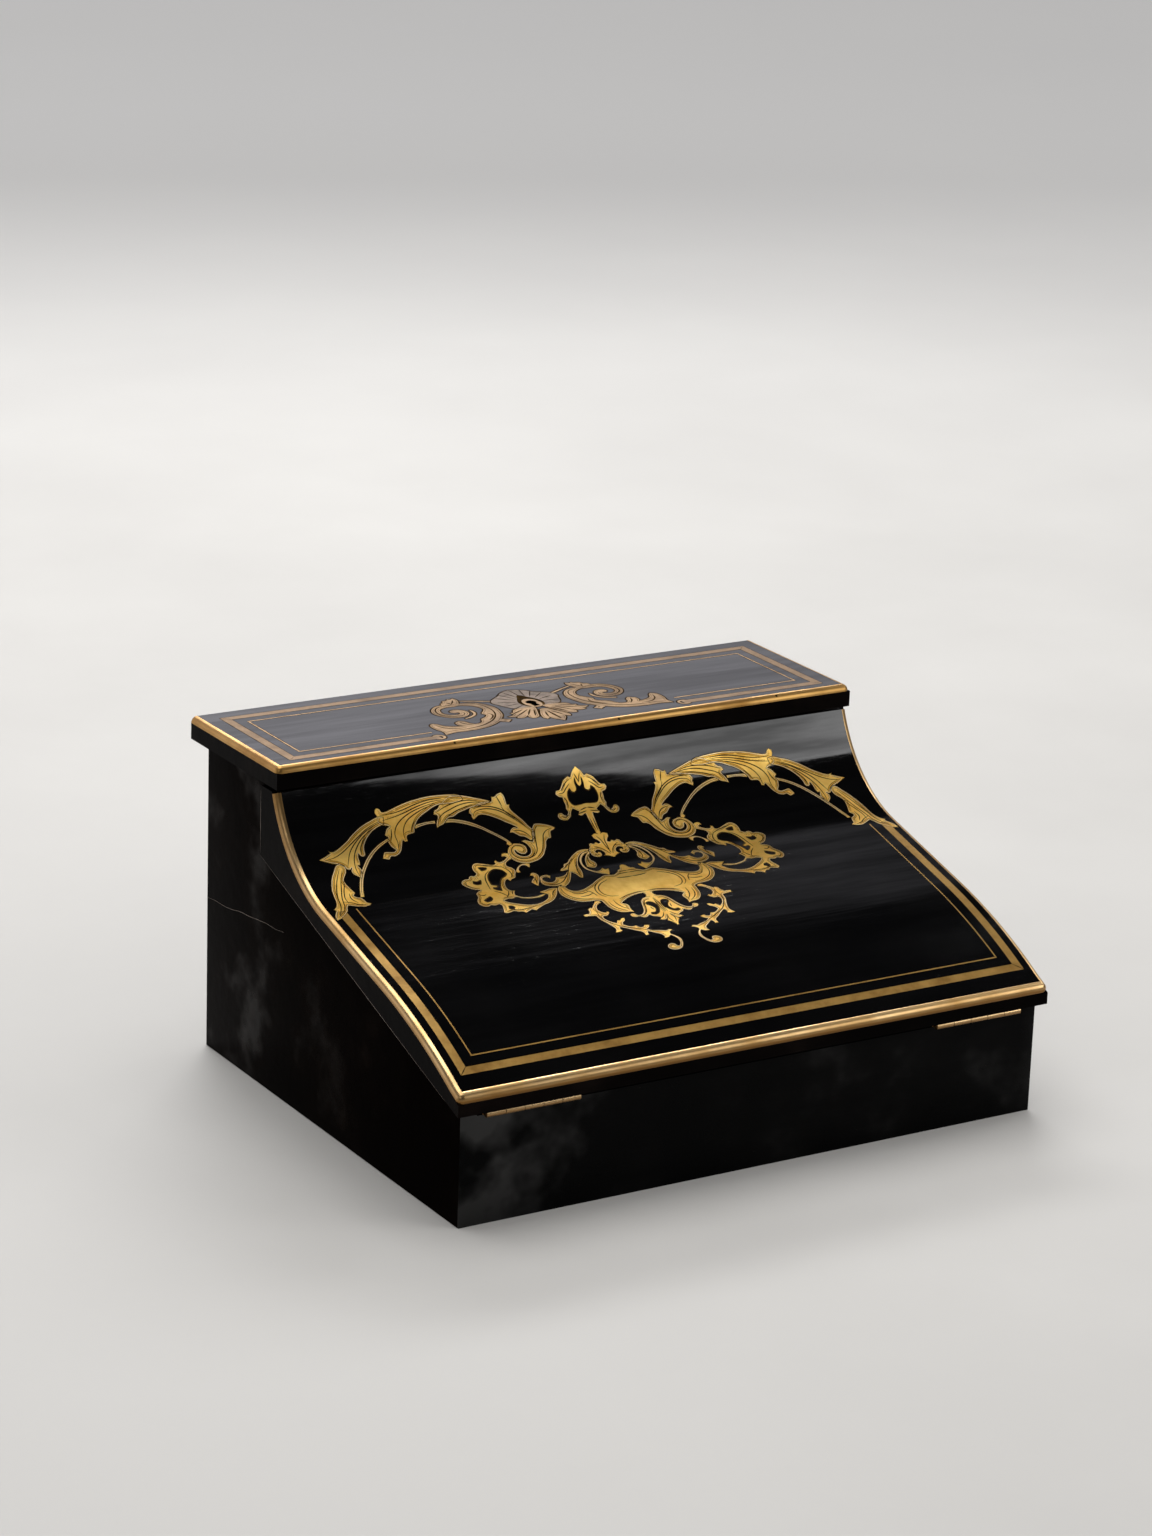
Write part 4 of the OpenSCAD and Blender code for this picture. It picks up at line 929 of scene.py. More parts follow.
FLAP_CUTS = [
    "668,314 657,298 647,278 641,252 632,228 620,204 605,180",
    "654,306 641,284 633,256 623,232 613,208 600,184",
    "627,276 627,258 620,238 612,222 608,210",
    "635,268 621,274 607,284 593,288",
    "612,246 615,262 607,278",
    "627,155 605,152 583,143 560,129 536,114 508,98 480,88",
    "585,180 577,164 568,148 555,133 538,119 518,106 496,96 476,90",
    "568,206 569,188 565,168 557,150 544,133 528,118 508,106 484,96",
    "543,156 541,143 533,130 520,117",
    "475,76 449,76 421,72 393,65 361,60 327,60",
    "472,88 445,84 417,78 389,70 357,64 323,63",
    "459,158 454,140 454,122 446,106 430,92 405,80 375,72 345,67",
    "470,138 462,122 458,108",
    "435,138 434,122 428,108 416,95 395,84 369,75 343,70",
    "416,122 410,110 400,98",
    "352,118 346,104 334,94 313,86 287,79 257,78 231,82",
    "346,88 327,80 303,74 277,72 247,76",
    "332,106 314,96 288,88 259,84",
    "267,110 260,100 244,96 222,98 202,106 182,122 163,142 153,156",
    "262,92 238,90 212,96 188,110 168,130",
    "196,96 191,108 180,120 168,132 157,148",
    "201,72 197,84 194,96",
    "189,154 175,156 163,164 155,178",
    "101,162 115,166 125,174 131,186 138,200 148,216 164,228",
    "131,152 141,162 147,178 152,196 158,212 170,224 186,230",
    (
        "163,190 160,202 164,214 174,224 190,229 206,225 215,214 214,202 206,193 195,191 187,196 "
        "185,204 191,209"
    ),
    "308,226 290,230 272,235 256,242",
    "290,246 303,256 311,272 315,290 318,306",
    "355,268 359,278 351,290 337,296",
    "352,314 344,322 336,320",
    "362,346 356,354 344,354",
    "323,388 309,386 293,390 273,388 251,386",
    "314,312 302,324 294,338",
    "284,320 290,332 300,342",
    "276,322 282,334",
    "258,240 249,252 247,266 253,278",
    "203,360 194,348 184,340",
    "207,284 207,296 212,312",
    "196,314 186,322 172,325 156,320 142,308 129,294 117,276 103,258 86,246",
    "106,312 105,296 99,278 89,258",
    "131,278 119,270 107,260",
    "57,284 63,272 61,258 50,244",
    "10,198 4,212 2,230 -1,250",
    "30,224 20,230 10,240 3,254",
    "38,246 34,252 27,250",
    "22,318 12,317 0,317",
    "30,326 16,324 0,324",
    "36,336 18,339 0,339",
    "72,334 90,346 101,358 105,372 102,386 93,396",
    "60,338 80,347 93,359 97,372 94,385 85,394 67,398",
    "172,340 174,356 169,372 157,384 139,391 121,392",
    "160,356 153,366 139,370 119,366",
    "147,380 129,380 113,374",
    "125,362 117,370 111,386",
    "100,412 98,428 90,442 76,452",
    "87,408 86,424 80,438 70,448",
    "73,410 53,402 29,397 1,396",
    "10,426 22,428 30,438 34,452 43,468 55,478 69,476",
    "24,452 21,464",
    "1,424 2,440 2,458 1,476",
    "23,496 13,488 7,478",
    "3,486 7,500 3,514",
    "146,426 144,440 146,456 141,474 131,490 115,504 93,516 72,528 48,540",
    "7,50 3,60 0,70",
    "47,84 38,73 28,64 20,61",
    "45,98 41,108 43,119",
    "67,139 58,144 49,138",
    "25,139 14,137 4,135",
    "4,152 3,170 2,186",
    "54,88 44,88 35,80 23,70",
    "18,132 4,128 1,128",
]
print("Flap drawing:", len(FLAP_BRASS), "outlines", len(FLAP_OPENINGS), "openings",
      len(FLAP_CUTS), "strokes")

# %% [markdown]
# ### Sawing the flap's brass
# The sheets are sawn in three groups, the ones that the CAD model has as three nodes. Each group
# lies a hair higher than the last, so that no two faces share a plane where leaves of two groups
# overlap.

# %% Saw the flap's brass
QUARTER = 0.25
BRASS_LIFT, GROUP_STEP = 0.040, 0.004
FLAP_GROUPS = {
    "flap_scrolls": ["leaf_foot", "leaf_two", "leaf_three", "leaf_four", "leaf_five", "volute_leaf",
                     "stem_low", "stem_high", "stem_end"],
    "flap_rocaille": ["rocaille", "rocaille_hook", "sprig", "arm", "c_line", "c_leaf"],
    "flap_cartouche": ["palmette", "cartouche", "lyre", "drop", "tendril", "finial"],
}


def drawn(text):
    """A drawn outline or stroke as numbers."""
    return np.array([[float(n) for n in pair.split(",")] for pair in text.split()])


def both_halves(points):
    """A left half drawing in mm, and its mirror image."""
    return [points * (-QUARTER, QUARTER), points[::-1] * (QUARTER, QUARTER)]


openings = [half for text in FLAP_OPENINGS.values() for half in both_halves(smooth(drawn(text)))]
for step, (name, members) in enumerate(FLAP_GROUPS.items()):
    outlines = [half for key in members for half in both_halves(smooth(drawn(FLAP_BRASS[key])))]
    sheet = slab(*fill(outlines, openings), on_flap, BRASS_LIFT + GROUP_STEP * step, -BRASS_T)
    new_piece("brass_" + name, *sheet, inlay_brass, "flap", "brass", [name])

# %% [markdown]
# ### Engraved strokes
# On the real brass a stroke is a shallow groove filled with wax. Grooves in a sheet this thin would
# need a very fine mesh, so each stroke is a thin dark strip laid on the sheet, which swells and
# runs out to a point as a graver's does. Strokes that follow the edge of a leaf are found from its
# outline: it is shifted inwards, and kept only where there is room for it.

# %% Stroke helpers
SWELL_START, SWELL_POWER = 0.12, 0.6
MIDDLE_LAP = 0.6
ECHO_ROOM, ECHO_JUMP, ECHO_LEAST, ECHO_POINTS = 0.94, 1.5, 5.0, 5
HATCH_GAP = 0.9


def left_of(way):
    """Unit directions to the left of a row of directions."""
    way = way / np.linalg.norm(way, axis=1)[:, None]
    return np.stack([-way[:, 1], way[:, 0]], 1)


def skin(count, ring, closed=False):
    """Faces along a row of equal rings of points, with two ends unless the row runs in a circle."""
    faces = []
    for k in range(count if closed else count - 1):
        low, high = ring * k, ring * ((k + 1) % count)
        faces += [(low + i, low + (i + 1) % ring, high + (i + 1) % ring, high + i)
                  for i in range(ring)]
    last = ring * (count - 1)
    ends = [tuple(range(ring - 1, -1, -1)), tuple(range(last, last + ring))]
    return faces if closed else faces + ends


def ribbon(points, width, place, top, bottom=0.0, closed=False):
    """A thin closed strip along a line: an open stroke runs out to points, a ring stays even."""
    count = len(points)
    if closed:
        way, swell = np.roll(points, -1, 0) - np.roll(points, 1, 0), np.ones(count)
    else:
        way = np.gradient(points, axis=0)
        swell = np.sin(np.linspace(SWELL_START, math.pi - SWELL_START, count)) ** SWELL_POWER
    half = left_of(way) * swell[:, None] * width / 2
    verts = []
    for a, b in zip(points + half, points - half):
        verts += [place(*a, top), place(*b, top), place(*b, bottom), place(*a, bottom)]
    return verts, skin(count, 4, closed)


def join(parts):
    """Several (vertices, faces) as one."""
    verts, faces = [], []
    for part_verts, part_faces in parts:
        faces += [[i + len(verts) for i in face] for face in part_faces]
        verts += part_verts
    return verts, faces


def echo(ring, depth):
    """Strokes that follow an outline inside it: a saw cut, a bright rim, a shade along a leaf."""
    x, y = ring.T
    turn = np.sign(np.sum(x * np.roll(y, -1) - np.roll(x, -1) * y))
    shifted = ring + turn * depth * left_of(np.roll(ring, -1, 0) - np.roll(ring, 1, 0))
    gaps = np.linalg.norm(shifted[:, None] - ring[None], axis=2).min(1)
    off_middle = np.abs(shifted[:, 0]) > depth + MIDDLE_LAP
    good = inside(shifted, ring) & (gaps > ECHO_ROOM * depth) & off_middle
    strokes, run = [], []
    for point, fine in zip(shifted, good):
        near = not run or np.linalg.norm(point - run[-1]) < ECHO_JUMP
        if fine and near:
            run.append(point)
            continue
        strokes.append(run)
        run = [point] if fine else []
    strokes.append(run)
    return [np.array(s) for s in strokes if len(s) > ECHO_POINTS
            and np.linalg.norm(np.diff(s, axis=0), axis=1).sum() > ECHO_LEAST]


def hatch(spine, reach):
    """Short parallel strokes across a spine, the engraver's half tone."""
    legs = np.linalg.norm(np.diff(spine, axis=0), axis=1)
    run = np.concatenate([[0.0], np.cumsum(legs)])
    stops = np.arange(HATCH_GAP, run[-1], HATCH_GAP)
    points = np.stack([np.interp(stops, run, spine[:, k]) for k in (0, 1)], 1)
    side = left_of(np.gradient(points, axis=0))
    return [np.array([p - s * reach / 2, p, p + s * reach / 2]) for p, s in zip(points, side)]


print("Stroke helpers ready")

# %% [markdown]
# ### Engraving the flap
# The drawn strokes lie on top. Below them come the lines that follow each outline: two engraved
# echoes, the dark saw cut, a bright rim and a shaded band. Hatching is listed as a spine and the
# length of its strokes. All dark strokes are one piece, and so are all rims and all shades.

# %% Engrave the flap's brass
STROKE_STEP, CUT_WIDTH, CUT_LIFT = 4.0, 0.62, 0.062
ECHO_WIDTH, ECHO_DEPTHS, ECHO_LIFT = 0.26, (0.85, 1.8), CUT_LIFT - 0.004
EDGE_WIDTH, EDGE_DEPTH, EDGE_LIFT = 0.40, 0.14, CUT_LIFT - 0.006
HATCH_WIDTH, HATCH_LIFT = 0.20, CUT_LIFT - 0.008
RIM_WIDTH, RIM_DEPTH, RIM_LIFT = 0.42, 0.55, CUT_LIFT - 0.010
SHADE_WIDTH, SHADE_DEPTH, SHADE_LIFT = 0.80, 1.33, CUT_LIFT - 0.011
FLAP_HATCH = [
    ("655,300 646,280 643,258 637,236 629,216", 2.0),
    ("606,290 598,278 604,262", 1.6),
    ("462,84 440,82 418,76 396,70", 1.5),
    ("181,350 180,364 172,378 160,388", 1.7),
    ("352,312 358,328 360,344 352,354", 1.6),
    ("322,262 336,266 350,274", 1.6),
    ("300,384 284,392 266,388 246,382", 1.5),
    ("262,236 250,246 246,260", 1.4),
    ("108,316 106,304 100,290", 1.4),
    ("108,414 106,430 98,444", 1.5),
    ("182,234 196,236 210,230 218,220", 1.4),
]

strokes = [half for text in FLAP_CUTS
           for half in both_halves(smooth(drawn(text), False, STROKE_STEP))]
mitre = np.array([(WIDE_X - s * WIDE_LINE, WIDE_END - s * WIDE_LINE) for s in (0.0, 0.5, 1.0)])
strokes += [mitre, mitre * (-1.0, 1.0)]
cuts = [ribbon(s, CUT_WIDTH, on_flap, CUT_LIFT) for s in strokes]
rims, shades = [], []
echoes = [(shades, SHADE_WIDTH, SHADE_DEPTH, SHADE_LIFT), (rims, RIM_WIDTH, RIM_DEPTH, RIM_LIFT)]
echoes += [(cuts, ECHO_WIDTH, depth, ECHO_LIFT) for depth in ECHO_DEPTHS]
echoes += [(cuts, EDGE_WIDTH, EDGE_DEPTH, EDGE_LIFT)]
for text in FLAP_BRASS.values():
    for half in both_halves(smooth(drawn(text))):
        for parts, width, depth, lift in echoes:
            parts.extend(ribbon(s, width, on_flap, lift) for s in echo(half, depth))
for half in openings:
    on_middle = np.abs(half[:, 0]) < 2 * MIDDLE_LAP
    edge = np.roll(half, -int(np.argmax(on_middle)), 0)
    edge = edge[np.abs(edge[:, 0]) >= 2 * MIDDLE_LAP]
    cuts.append(ribbon(edge, 2 * EDGE_WIDTH, on_flap, EDGE_LIFT, closed=not on_middle.any()))
for text, reach in FLAP_HATCH:
    for half in both_halves(smooth(drawn(text), False, STROKE_STEP)):
        cuts += [ribbon(s, HATCH_WIDTH, on_flap, HATCH_LIFT) for s in hatch(half, reach)]
new_piece("brass_flap_rims", *join(rims), rim_brass, "flap", "brass")
new_piece("brass_flap_shades", *join(shades), shade_brass, "flap", "brass")
new_piece("flap_engraving", *join(cuts), engraving_wax_and_shadow, "flap", "brass")
print("Strokes on the flap:", len(cuts), "and bright rims:", len(rims))

# %% [markdown]
# ## The flap's beads
# A quarter-round brass bead covers the veneer's edges down both sides and along the lip. It is
# drawn as one section carried along the face, turned about the lip's corner at the foot, so that
# the corner is a smooth round nose. A sweep made by hand gives full control of that turn.

# %% Beads of the flap
BEAD_POINTS, COVE_STOPS, SWEEP_STOPS, NOSE_STOPS, NOSE_FROM = 9, 40, 60, 10, 7.0
LIP_POINTS, LIP_STOPS = 16, 24


def sweep(stations):
    """A quarter-round bead: stations are (base, outward, upward) vectors in mm."""
    verts = []
    for base, outward, upward in stations:
        verts.append(in_box(*base))
        for a in np.linspace(0.0, math.pi / 2, BEAD_POINTS):
            verts.append(in_box(*(base + BEAD_R * (math.cos(a) * outward + math.sin(a) * upward))))
    return verts, skin(len(stations), BEAD_POINTS + 1)


def vec(x, yz):
    """A vector from its x and its (y, z)."""
    return np.array([x, yz[0], yz[1]])


lip_on_face = LIP + BEAD_R * along(belly_end)
lip_inside = lip_on_face - np.array([0.0, BEAD_R])
nose = np.linspace(belly_end, belly_end + 90.0, NOSE_STOPS)
face_stops = np.concatenate([np.linspace(0.0, COVE_LEN, COVE_STOPS),
                             np.linspace(COVE_LEN, FACE_LEN - NOSE_FROM, SWEEP_STOPS)[1:]])
for name, side in (("flap_left_bead", -1), ("flap_right_bead", 1)):
    edge = side * (HALF_WIDTH - BEAD_R)
    outward = np.array([float(side), 0.0, 0.0])
    stations = [(vec(edge, face_point(t) - BEAD_R * across(face_slope(t))), outward,
                 vec(0.0, across(face_slope(t)))) for t in face_stops]
    stations += [(vec(edge, lip_inside), outward, vec(0.0, across(a))) for a in nose]
    new_piece("brass_" + name, *sweep(stations), bead_brass, "flap", "brass", [name])

lip_turns = np.linspace(0.0, belly_end + 90.0, LIP_POINTS)
lip_ring = [lip_inside] + [lip_inside + BEAD_R * across(a) for a in lip_turns]
lip_x = np.linspace(-HALF_WIDTH + BEAD_R, HALF_WIDTH - BEAD_R, LIP_STOPS)
lip_verts = [in_box(x, y, z) for x in lip_x for y, z in lip_ring]
new_piece("brass_flap_lip_bead", lip_verts, skin(LIP_STOPS, len(lip_ring)), bead_brass, "flap",
          "brass", ["flap_lip_bead"])

# %% [markdown]
# ## The lid
# The lid repeats the flap in small: polished sheet, wide and narrow brass lines with a break for
# two scrolls, a shell and a palmette round the keyhole, and a bead on the top arris at the front
# and both sides. The ornament is drawn as on the flap, half of it and in quarter millimetres, with
# the length counted from the back.

# %% Drawing of the lid's ornament
LID_BRASS = {
    "lid_scroll": (
        "142,159 124,161 107,172 95,190 89,213 92,240 101,267 117,290 137,309 164,324 191,331 224,333 "
        "251,332 277,339 273,320 278,300 279,282 275,267 267,261 259,269 253,282 244,291 231,297 "
        "214,301 221,289 219,275 207,267 197,277 193,291 184,299 170,296 162,287 157,275 141,264 "
        "133,254 135,239 127,229 117,213 119,197 127,183 139,174 151,169 164,171 181,170 193,173 "
        "204,181 209,193 211,207 205,219 193,225 181,224 175,217 177,211 186,213 191,207 190,199 "
        "182,194 170,196 161,204 157,217 161,231 173,241 191,244 209,237 223,221 229,203 225,183 "
        "214,167 200,157 181,154 161,155"
    ),
    "lid_leaf": (
        "183,157 180,143 173,140 169,130 157,127 153,121 147,125 139,119 136,133 140,147 147,159 "
        "164,163"
    ),
    "lid_stem": (
        "139,141 129,143 111,151 91,161 75,169 77,173 93,166 113,155 131,147"
    ),
    "lid_hook": (
        "147,207 144,217 145,229 153,243 167,253 183,259 185,256 170,249 157,240 150,228 149,217"
    ),
    "lid_spur": (
        "129,304 123,296 115,291 108,299 101,303 107,309 113,315 120,309"
    ),
    "palm_side": (
        "98,284 85,280 77,273 80,264 72,262 66,250 54,243 37,240 10,240 13,256 20,273 28,291 34,304 "
        "44,312 54,313 57,303 53,290 61,297 71,302 84,299 78,291 88,290"
    ),
    "palm_mid": (
        "2,262 -8,264 -14,275 -22,289 -29,306 -32,321 -28,330 -22,326 -18,318 -15,331 -8,343 2,354"
    ),
}
LID_CUTS = [
    (
        "137,165 119,171 107,187 103,210 105,235 114,259 131,283 153,301 181,315 214,321 247,321 "
        "267,324"
    ),
    "157,161 181,161 198,164 211,175 219,194 219,212 209,227 192,235 176,233 167,222 169,209",
    "124,240 120,257 129,273 144,287",
    "265,273 259,293 241,310 214,313",
    "209,273 205,287 192,304",
    "145,131 152,143 161,155",
    "167,140 163,150 162,156",
    "77,287 57,273 34,255",
    "52,291 40,273 27,255",
    "79,272 62,262 44,252",
    "40,300 30,279 21,260",
    "0,280 -1,307 -1,338",
    "-18,318 -13,300 -7,284",
    "111,304 117,300",
]

SHELL_EDGE = "0,116 14,121 30,131 41,144 58,157 73,170 79,187 72,203 66,220 59,233 46,243 24,247 0,247"
# Painted shadow: the field round the keyhole that a dark plate fills.
KEY_SHADE = "0,154 7,163 12,174 19,186 26,202 27,219 22,234 11,246 0,250"
print("Lid drawing:", len(LID_BRASS), "outlines", len(LID_CUTS), "strokes")

# %% [markdown]
# ### The lid's sheet
# The lid is flat, so its map is only a shift. The sheet lies a hair lower than in the CAD model, so
# that brass and engraving stay inside the model's height. The keyhole is a real opening: an arc and
# a slot, cut out of the sheet by the same fill that saws the brass.

# %% Keyhole and lid sheet
LID_FRONT, LID_END, LID_TOP, DRAWING_BACK = 185.0, 282.0, 179.0, 283.0
LID_SINK, LID_SPACING = 0.07, 12.0
KEYHOLE_Y, KEYHOLE_R, KEYHOLE_SLOT, KEYHOLE_L, KEYHOLE_POINTS = 230.0, 3.0, 1.8, 7.0, 40


def on_lid(x, y, lift):
    """A flat drawing carried onto the lid."""
    return in_box(x, y, LID_TOP - LID_SINK + lift)


turn = math.acos(KEYHOLE_SLOT / KEYHOLE_R)
slot_end = KEYHOLE_Y - KEYHOLE_L
keyhole = np.array([
    (KEYHOLE_R * math.cos(a), KEYHOLE_Y + KEYHOLE_R * math.sin(a))
    for a in np.linspace(-turn, math.pi + turn, KEYHOLE_POINTS)
] + [(-KEYHOLE_SLOT, slot_end), (KEYHOLE_SLOT, slot_end)])
sheet_half, sheet_front = HALF_WIDTH - BEAD_R, LID_FRONT + BEAD_R
lid_rect = straight([(-sheet_half, sheet_front), (sheet_half, sheet_front),
                     (sheet_half, LID_END), (-sheet_half, LID_END)], LID_SPACING)
lid_sheet = fill([lid_rect], [keyhole], LID_SPACING)
new_piece("lid_sheet", *slab(*lid_sheet, on_lid, 0.0, -SHEET_T + LID_SINK), lid_polish,
          "lid", "ebonised_wood", ["lid_veneer"])

# %% [markdown]
# ### The lid's brass
# Shell, scrolls, lines and keyhole rim are four layers, each a little above the last, because the
# scrolls lie over the shell and the rim over both. All are filled in the flat and given thickness,
# as on the flap.

# %% Lid lines and scrolls
LID_X, LID_Y, LINE_BREAK = HALF_WIDTH - 12.0, 9.0, 74.0
SHELL_LIFT, SCROLL_LIFT, LID_LINE_LIFT, KEY_RIM_LIFT = 0.034, 0.040, 0.045, 0.054
SCROLL_SPACING, KEY_RIM_SPACING = 5.0, 2.0
KEY_RIM_DROP, KEY_RIM_ACROSS, KEY_RIM_ALONG = 1.2, 4.8, 7.4
RING_X, RING_Y, RING_R, RING_EYE = LINE_BREAK + 0.6, LID_FRONT + LID_Y + 2.2, 3.6, 2.2
OVAL_POINTS = 48


def on_lid_halves(points):
    """A left half drawing of the lid in mm, and its mirror image."""
    u, v = points.T * QUARTER
    left = np.stack([-u, DRAWING_BACK - v], 1)
    return [left, (left * (-1.0, 1.0))[::-1]]


def oval(x, y, across_r, along_r):
    """An oval outline about a middle."""
    a = np.linspace(0.0, 2 * math.pi, OVAL_POINTS, endpoint=False)
    return np.stack([x + across_r * np.cos(a), y + along_r * np.sin(a)], 1)


def lid_line(inset, width):
    """A line round the lid, open in the middle of its front."""
    x, y0, y1 = LID_X - inset, LID_FRONT + LID_Y + inset, LID_END - LID_Y - inset
    ring = [(-LINE_BREAK, y0), (-x, y0), (-x, y1), (x, y1), (x, y0), (LINE_BREAK, y0)]
    x, y0, y1 = x - width, y0 + width, y1 - width
    ring += [(LINE_BREAK, y0), (x, y0), (x, y1), (-x, y1), (-x, y0), (-LINE_BREAK, y0)]
    return straight(ring, LID_SPACING)


lid_rings = []
for name, inset, width, finish in (
        ("lid_wide_line", 0.0, WIDE_LINE, lid_line_brass),
        ("lid_thin_line", WIDE_LINE + LINE_GAP, THIN_LINE, lid_thin_brass)):
    lid_rings.append(lid_line(inset, width))
    sheet = slab(*fill([lid_rings[-1]], (), LID_SPACING), on_lid, LID_LINE_LIFT, -BRASS_T)
    new_piece("brass_" + name, *sheet, finish, "lid", "brass", [name])

lid_outlines = [half for text in LID_BRASS.values() for half in on_lid_halves(smooth(drawn(text)))]
rings, eyes = ([oval(side * RING_X, RING_Y, r, r) for side in (-1, 1)] for r in (RING_R, RING_EYE))
shell, shade = (np.concatenate(on_lid_halves(smooth(drawn(text), False)))
                for text in (SHELL_EDGE, KEY_SHADE))
rim_edge = oval(0.0, KEYHOLE_Y - KEY_RIM_DROP, KEY_RIM_ACROSS, KEY_RIM_ALONG)
sheet = slab(*fill([shell], [shade], SCROLL_SPACING), on_lid, SHELL_LIFT, -BRASS_T)
new_piece("brass_keyhole_shell", *sheet, shell_brass, "lid", "brass")
sheet = fill(lid_outlines + rings, eyes + [rim_edge], SCROLL_SPACING)
new_piece("brass_lid_scrolls", *slab(*sheet, on_lid, SCROLL_LIFT, -BRASS_T), lid_brass, "lid",
          "brass", ["lid_scrolls"])
sheet = fill([rim_edge], [keyhole], KEY_RIM_SPACING)
new_piece("brass_keyhole_rim", *slab(*sheet, on_lid, KEY_RIM_LIFT, -BRASS_T), lid_brass, "lid",
          "brass", ["keyhole_rim"])

# %% [markdown]
# ### Engraving the lid
# The lid is seen at a grazing angle, where fine strokes would vanish, so its strokes are wider and
# every piece of brass has a broad dark saw cut round it. The shell gets a fan of ribs, and the
# corners of the wide line their mitres. A dark plate, a painted shadow, fills the field round the
# keyhole.

# %% Engrave the lid's brass
LID_CUT_WIDTH, KERF, LINE_KERF = 0.95, 1.6, 0.7
KERF_LIFT, KEY_SHADE_LIFT, LID_ECHO_LIFT, LID_CUT_LIFT = 0.028, 0.030, 0.064, 0.066
SHELL_RIBS, RIB_FROM, RIB_FAN = 13, -24.0, 228.0
RIB_REACH, RIB_POINTS, RIB_RISE, RIB_STRETCH = (7.5, 17.0), 12, 1.0, 1.35

strokes = [half for text in LID_CUTS
           for half in on_lid_halves(smooth(drawn(text), False, STROKE_STEP))]
cuts = [ribbon(s, LID_CUT_WIDTH, on_lid, LID_CUT_LIFT) for s in strokes]
cuts += [ribbon(ring, KERF, on_lid, KERF_LIFT, closed=True)
         for ring in lid_outlines + rings + eyes + [shell]]
cuts += [ribbon(ring, LINE_KERF, on_lid, KERF_LIFT, closed=True) for ring in lid_rings]
# Painted shadow: a dark plate over the field round the keyhole rim.
cuts.append(slab(*fill([shade], [rim_edge], SCROLL_SPACING), on_lid, KEY_SHADE_LIFT, -BRASS_T))
for ring in lid_outlines:
    cuts += [ribbon(s, ECHO_WIDTH, on_lid, LID_ECHO_LIFT) for s in echo(ring, ECHO_DEPTHS[0])]
for k in range(SHELL_RIBS):
    a = math.radians(RIB_FROM + RIB_FAN * k / (SHELL_RIBS - 1))
    rib = np.array([(r * math.cos(a), KEYHOLE_Y + RIB_RISE + RIB_STRETCH * r * math.sin(a))
                    for r in np.linspace(*RIB_REACH, RIB_POINTS)])
    cuts.append(ribbon(rib, CUT_WIDTH, on_lid, LID_CUT_LIFT))
for y, inward in ((LID_FRONT + LID_Y, WIDE_LINE), (LID_END - LID_Y, -WIDE_LINE)):
    mitre = np.array([(LID_X - s * WIDE_LINE, y + s * inward) for s in (0.0, 0.5, 1.0)])
    cuts += [ribbon(m, ECHO_WIDTH, on_lid, LID_CUT_LIFT) for m in (mitre, mitre * (-1.0, 1.0))]
new_piece("lid_engraving_and_shadow", *join(cuts), engraving_wax_and_shadow, "lid", "brass")

# %% [markdown]
# ### The lid's bead
# The same quarter round as on the flap runs along one side, round two corners and back along the
# other side, as one strip of brass. At a corner the base stands still and only the outward
# direction turns. Three small pins hold the front length, and their heads show as dark dots.

# %% Bead of the lid
X_IN, Y_IN, Z_IN = HALF_WIDTH - BEAD_R, LID_FRONT + BEAD_R, LID_TOP - BEAD_R
SIDE_STOPS, CORNER_STOPS, FRONT_STOPS = 12, 9, 30
UP = np.array([0.0, 0.0, 1.0])


def turned(deg):
    """A level direction, in degrees from the right."""
    return np.array([math.cos(math.radians(deg)), math.sin(math.radians(deg)), 0.0])


path = [(-X_IN, y, 180.0) for y in np.linspace(LID_END, Y_IN, SIDE_STOPS)]
path += [(-X_IN, Y_IN, a) for a in np.linspace(180.0, 270.0, CORNER_STOPS)[1:]]
path += [(x, Y_IN, 270.0) for x in np.linspace(-X_IN, X_IN, FRONT_STOPS)[1:]]
path += [(X_IN, Y_IN, a) for a in np.linspace(270.0, 360.0, CORNER_STOPS)[1:]]
path += [(X_IN, y, 360.0) for y in np.linspace(Y_IN, LID_END, SIDE_STOPS)[1:]]
stations = [(np.array([x, y, Z_IN]), turned(a), UP) for x, y, a in path]
new_piece("brass_lid_bead", *sweep(stations), lid_bead_brass, "lid", "brass",
          ["lid_front_bead", "lid_left_bead", "lid_right_bead"])

# %% Pins of the lid's bead
PIN_X, PIN_R, PIN_TURN, PIN_PARTS = (-71.0, 28.0, 127.0), 0.75, 38.0, 12
PIN_SINK, PIN_CROWN = 0.02, 0.10
PIN_ROWS = ((0.55, 0.08), (1.0, 0.0))
RIGHT = np.array([1.0, 0.0, 0.0])
pin_out = vec(0.0, across(PIN_TURN))
pin_side = vec(0.0, along(PIN_TURN))
pin_parts = []
for x in PIN_X:
    middle = np.array([x, Y_IN, Z_IN]) + (BEAD_R - PIN_SINK) * pin_out
    verts = [in_box(*(middle + PIN_CROWN * pin_out))]
    for r, rise in PIN_ROWS:
        for a in np.linspace(0.0, 2 * math.pi, PIN_PARTS, endpoint=False):
            spoke = r * PIN_R * (math.cos(a) * RIGHT + math.sin(a) * pin_side)
            verts.append(in_box(*(middle + rise * pin_out + spoke)))
    faces = [tuple(range(2 * PIN_PARTS, PIN_PARTS, -1))]
    for i in range(PIN_PARTS):
        here, after = 1 + i, 1 + (i + 1) % PIN_PARTS
        faces += [(0, here, after), (here, here + PIN_PARTS, after + PIN_PARTS, after)]
    pin_parts.append((verts, faces))
new_piece("brass_bead_pins", *join(pin_parts), engraving_wax_and_shadow, "lid", "brass")

# %% [markdown]
# ## The carcass sides
# A hand finished board has no knife edge: the polisher's rubber rounds each arris, and the round
# catches a hairline of light. The two sides carry the arrises that show, so they are drawn again
# with a small round on their outer edges. Front and back board lie flush between them and stay as
# they are.

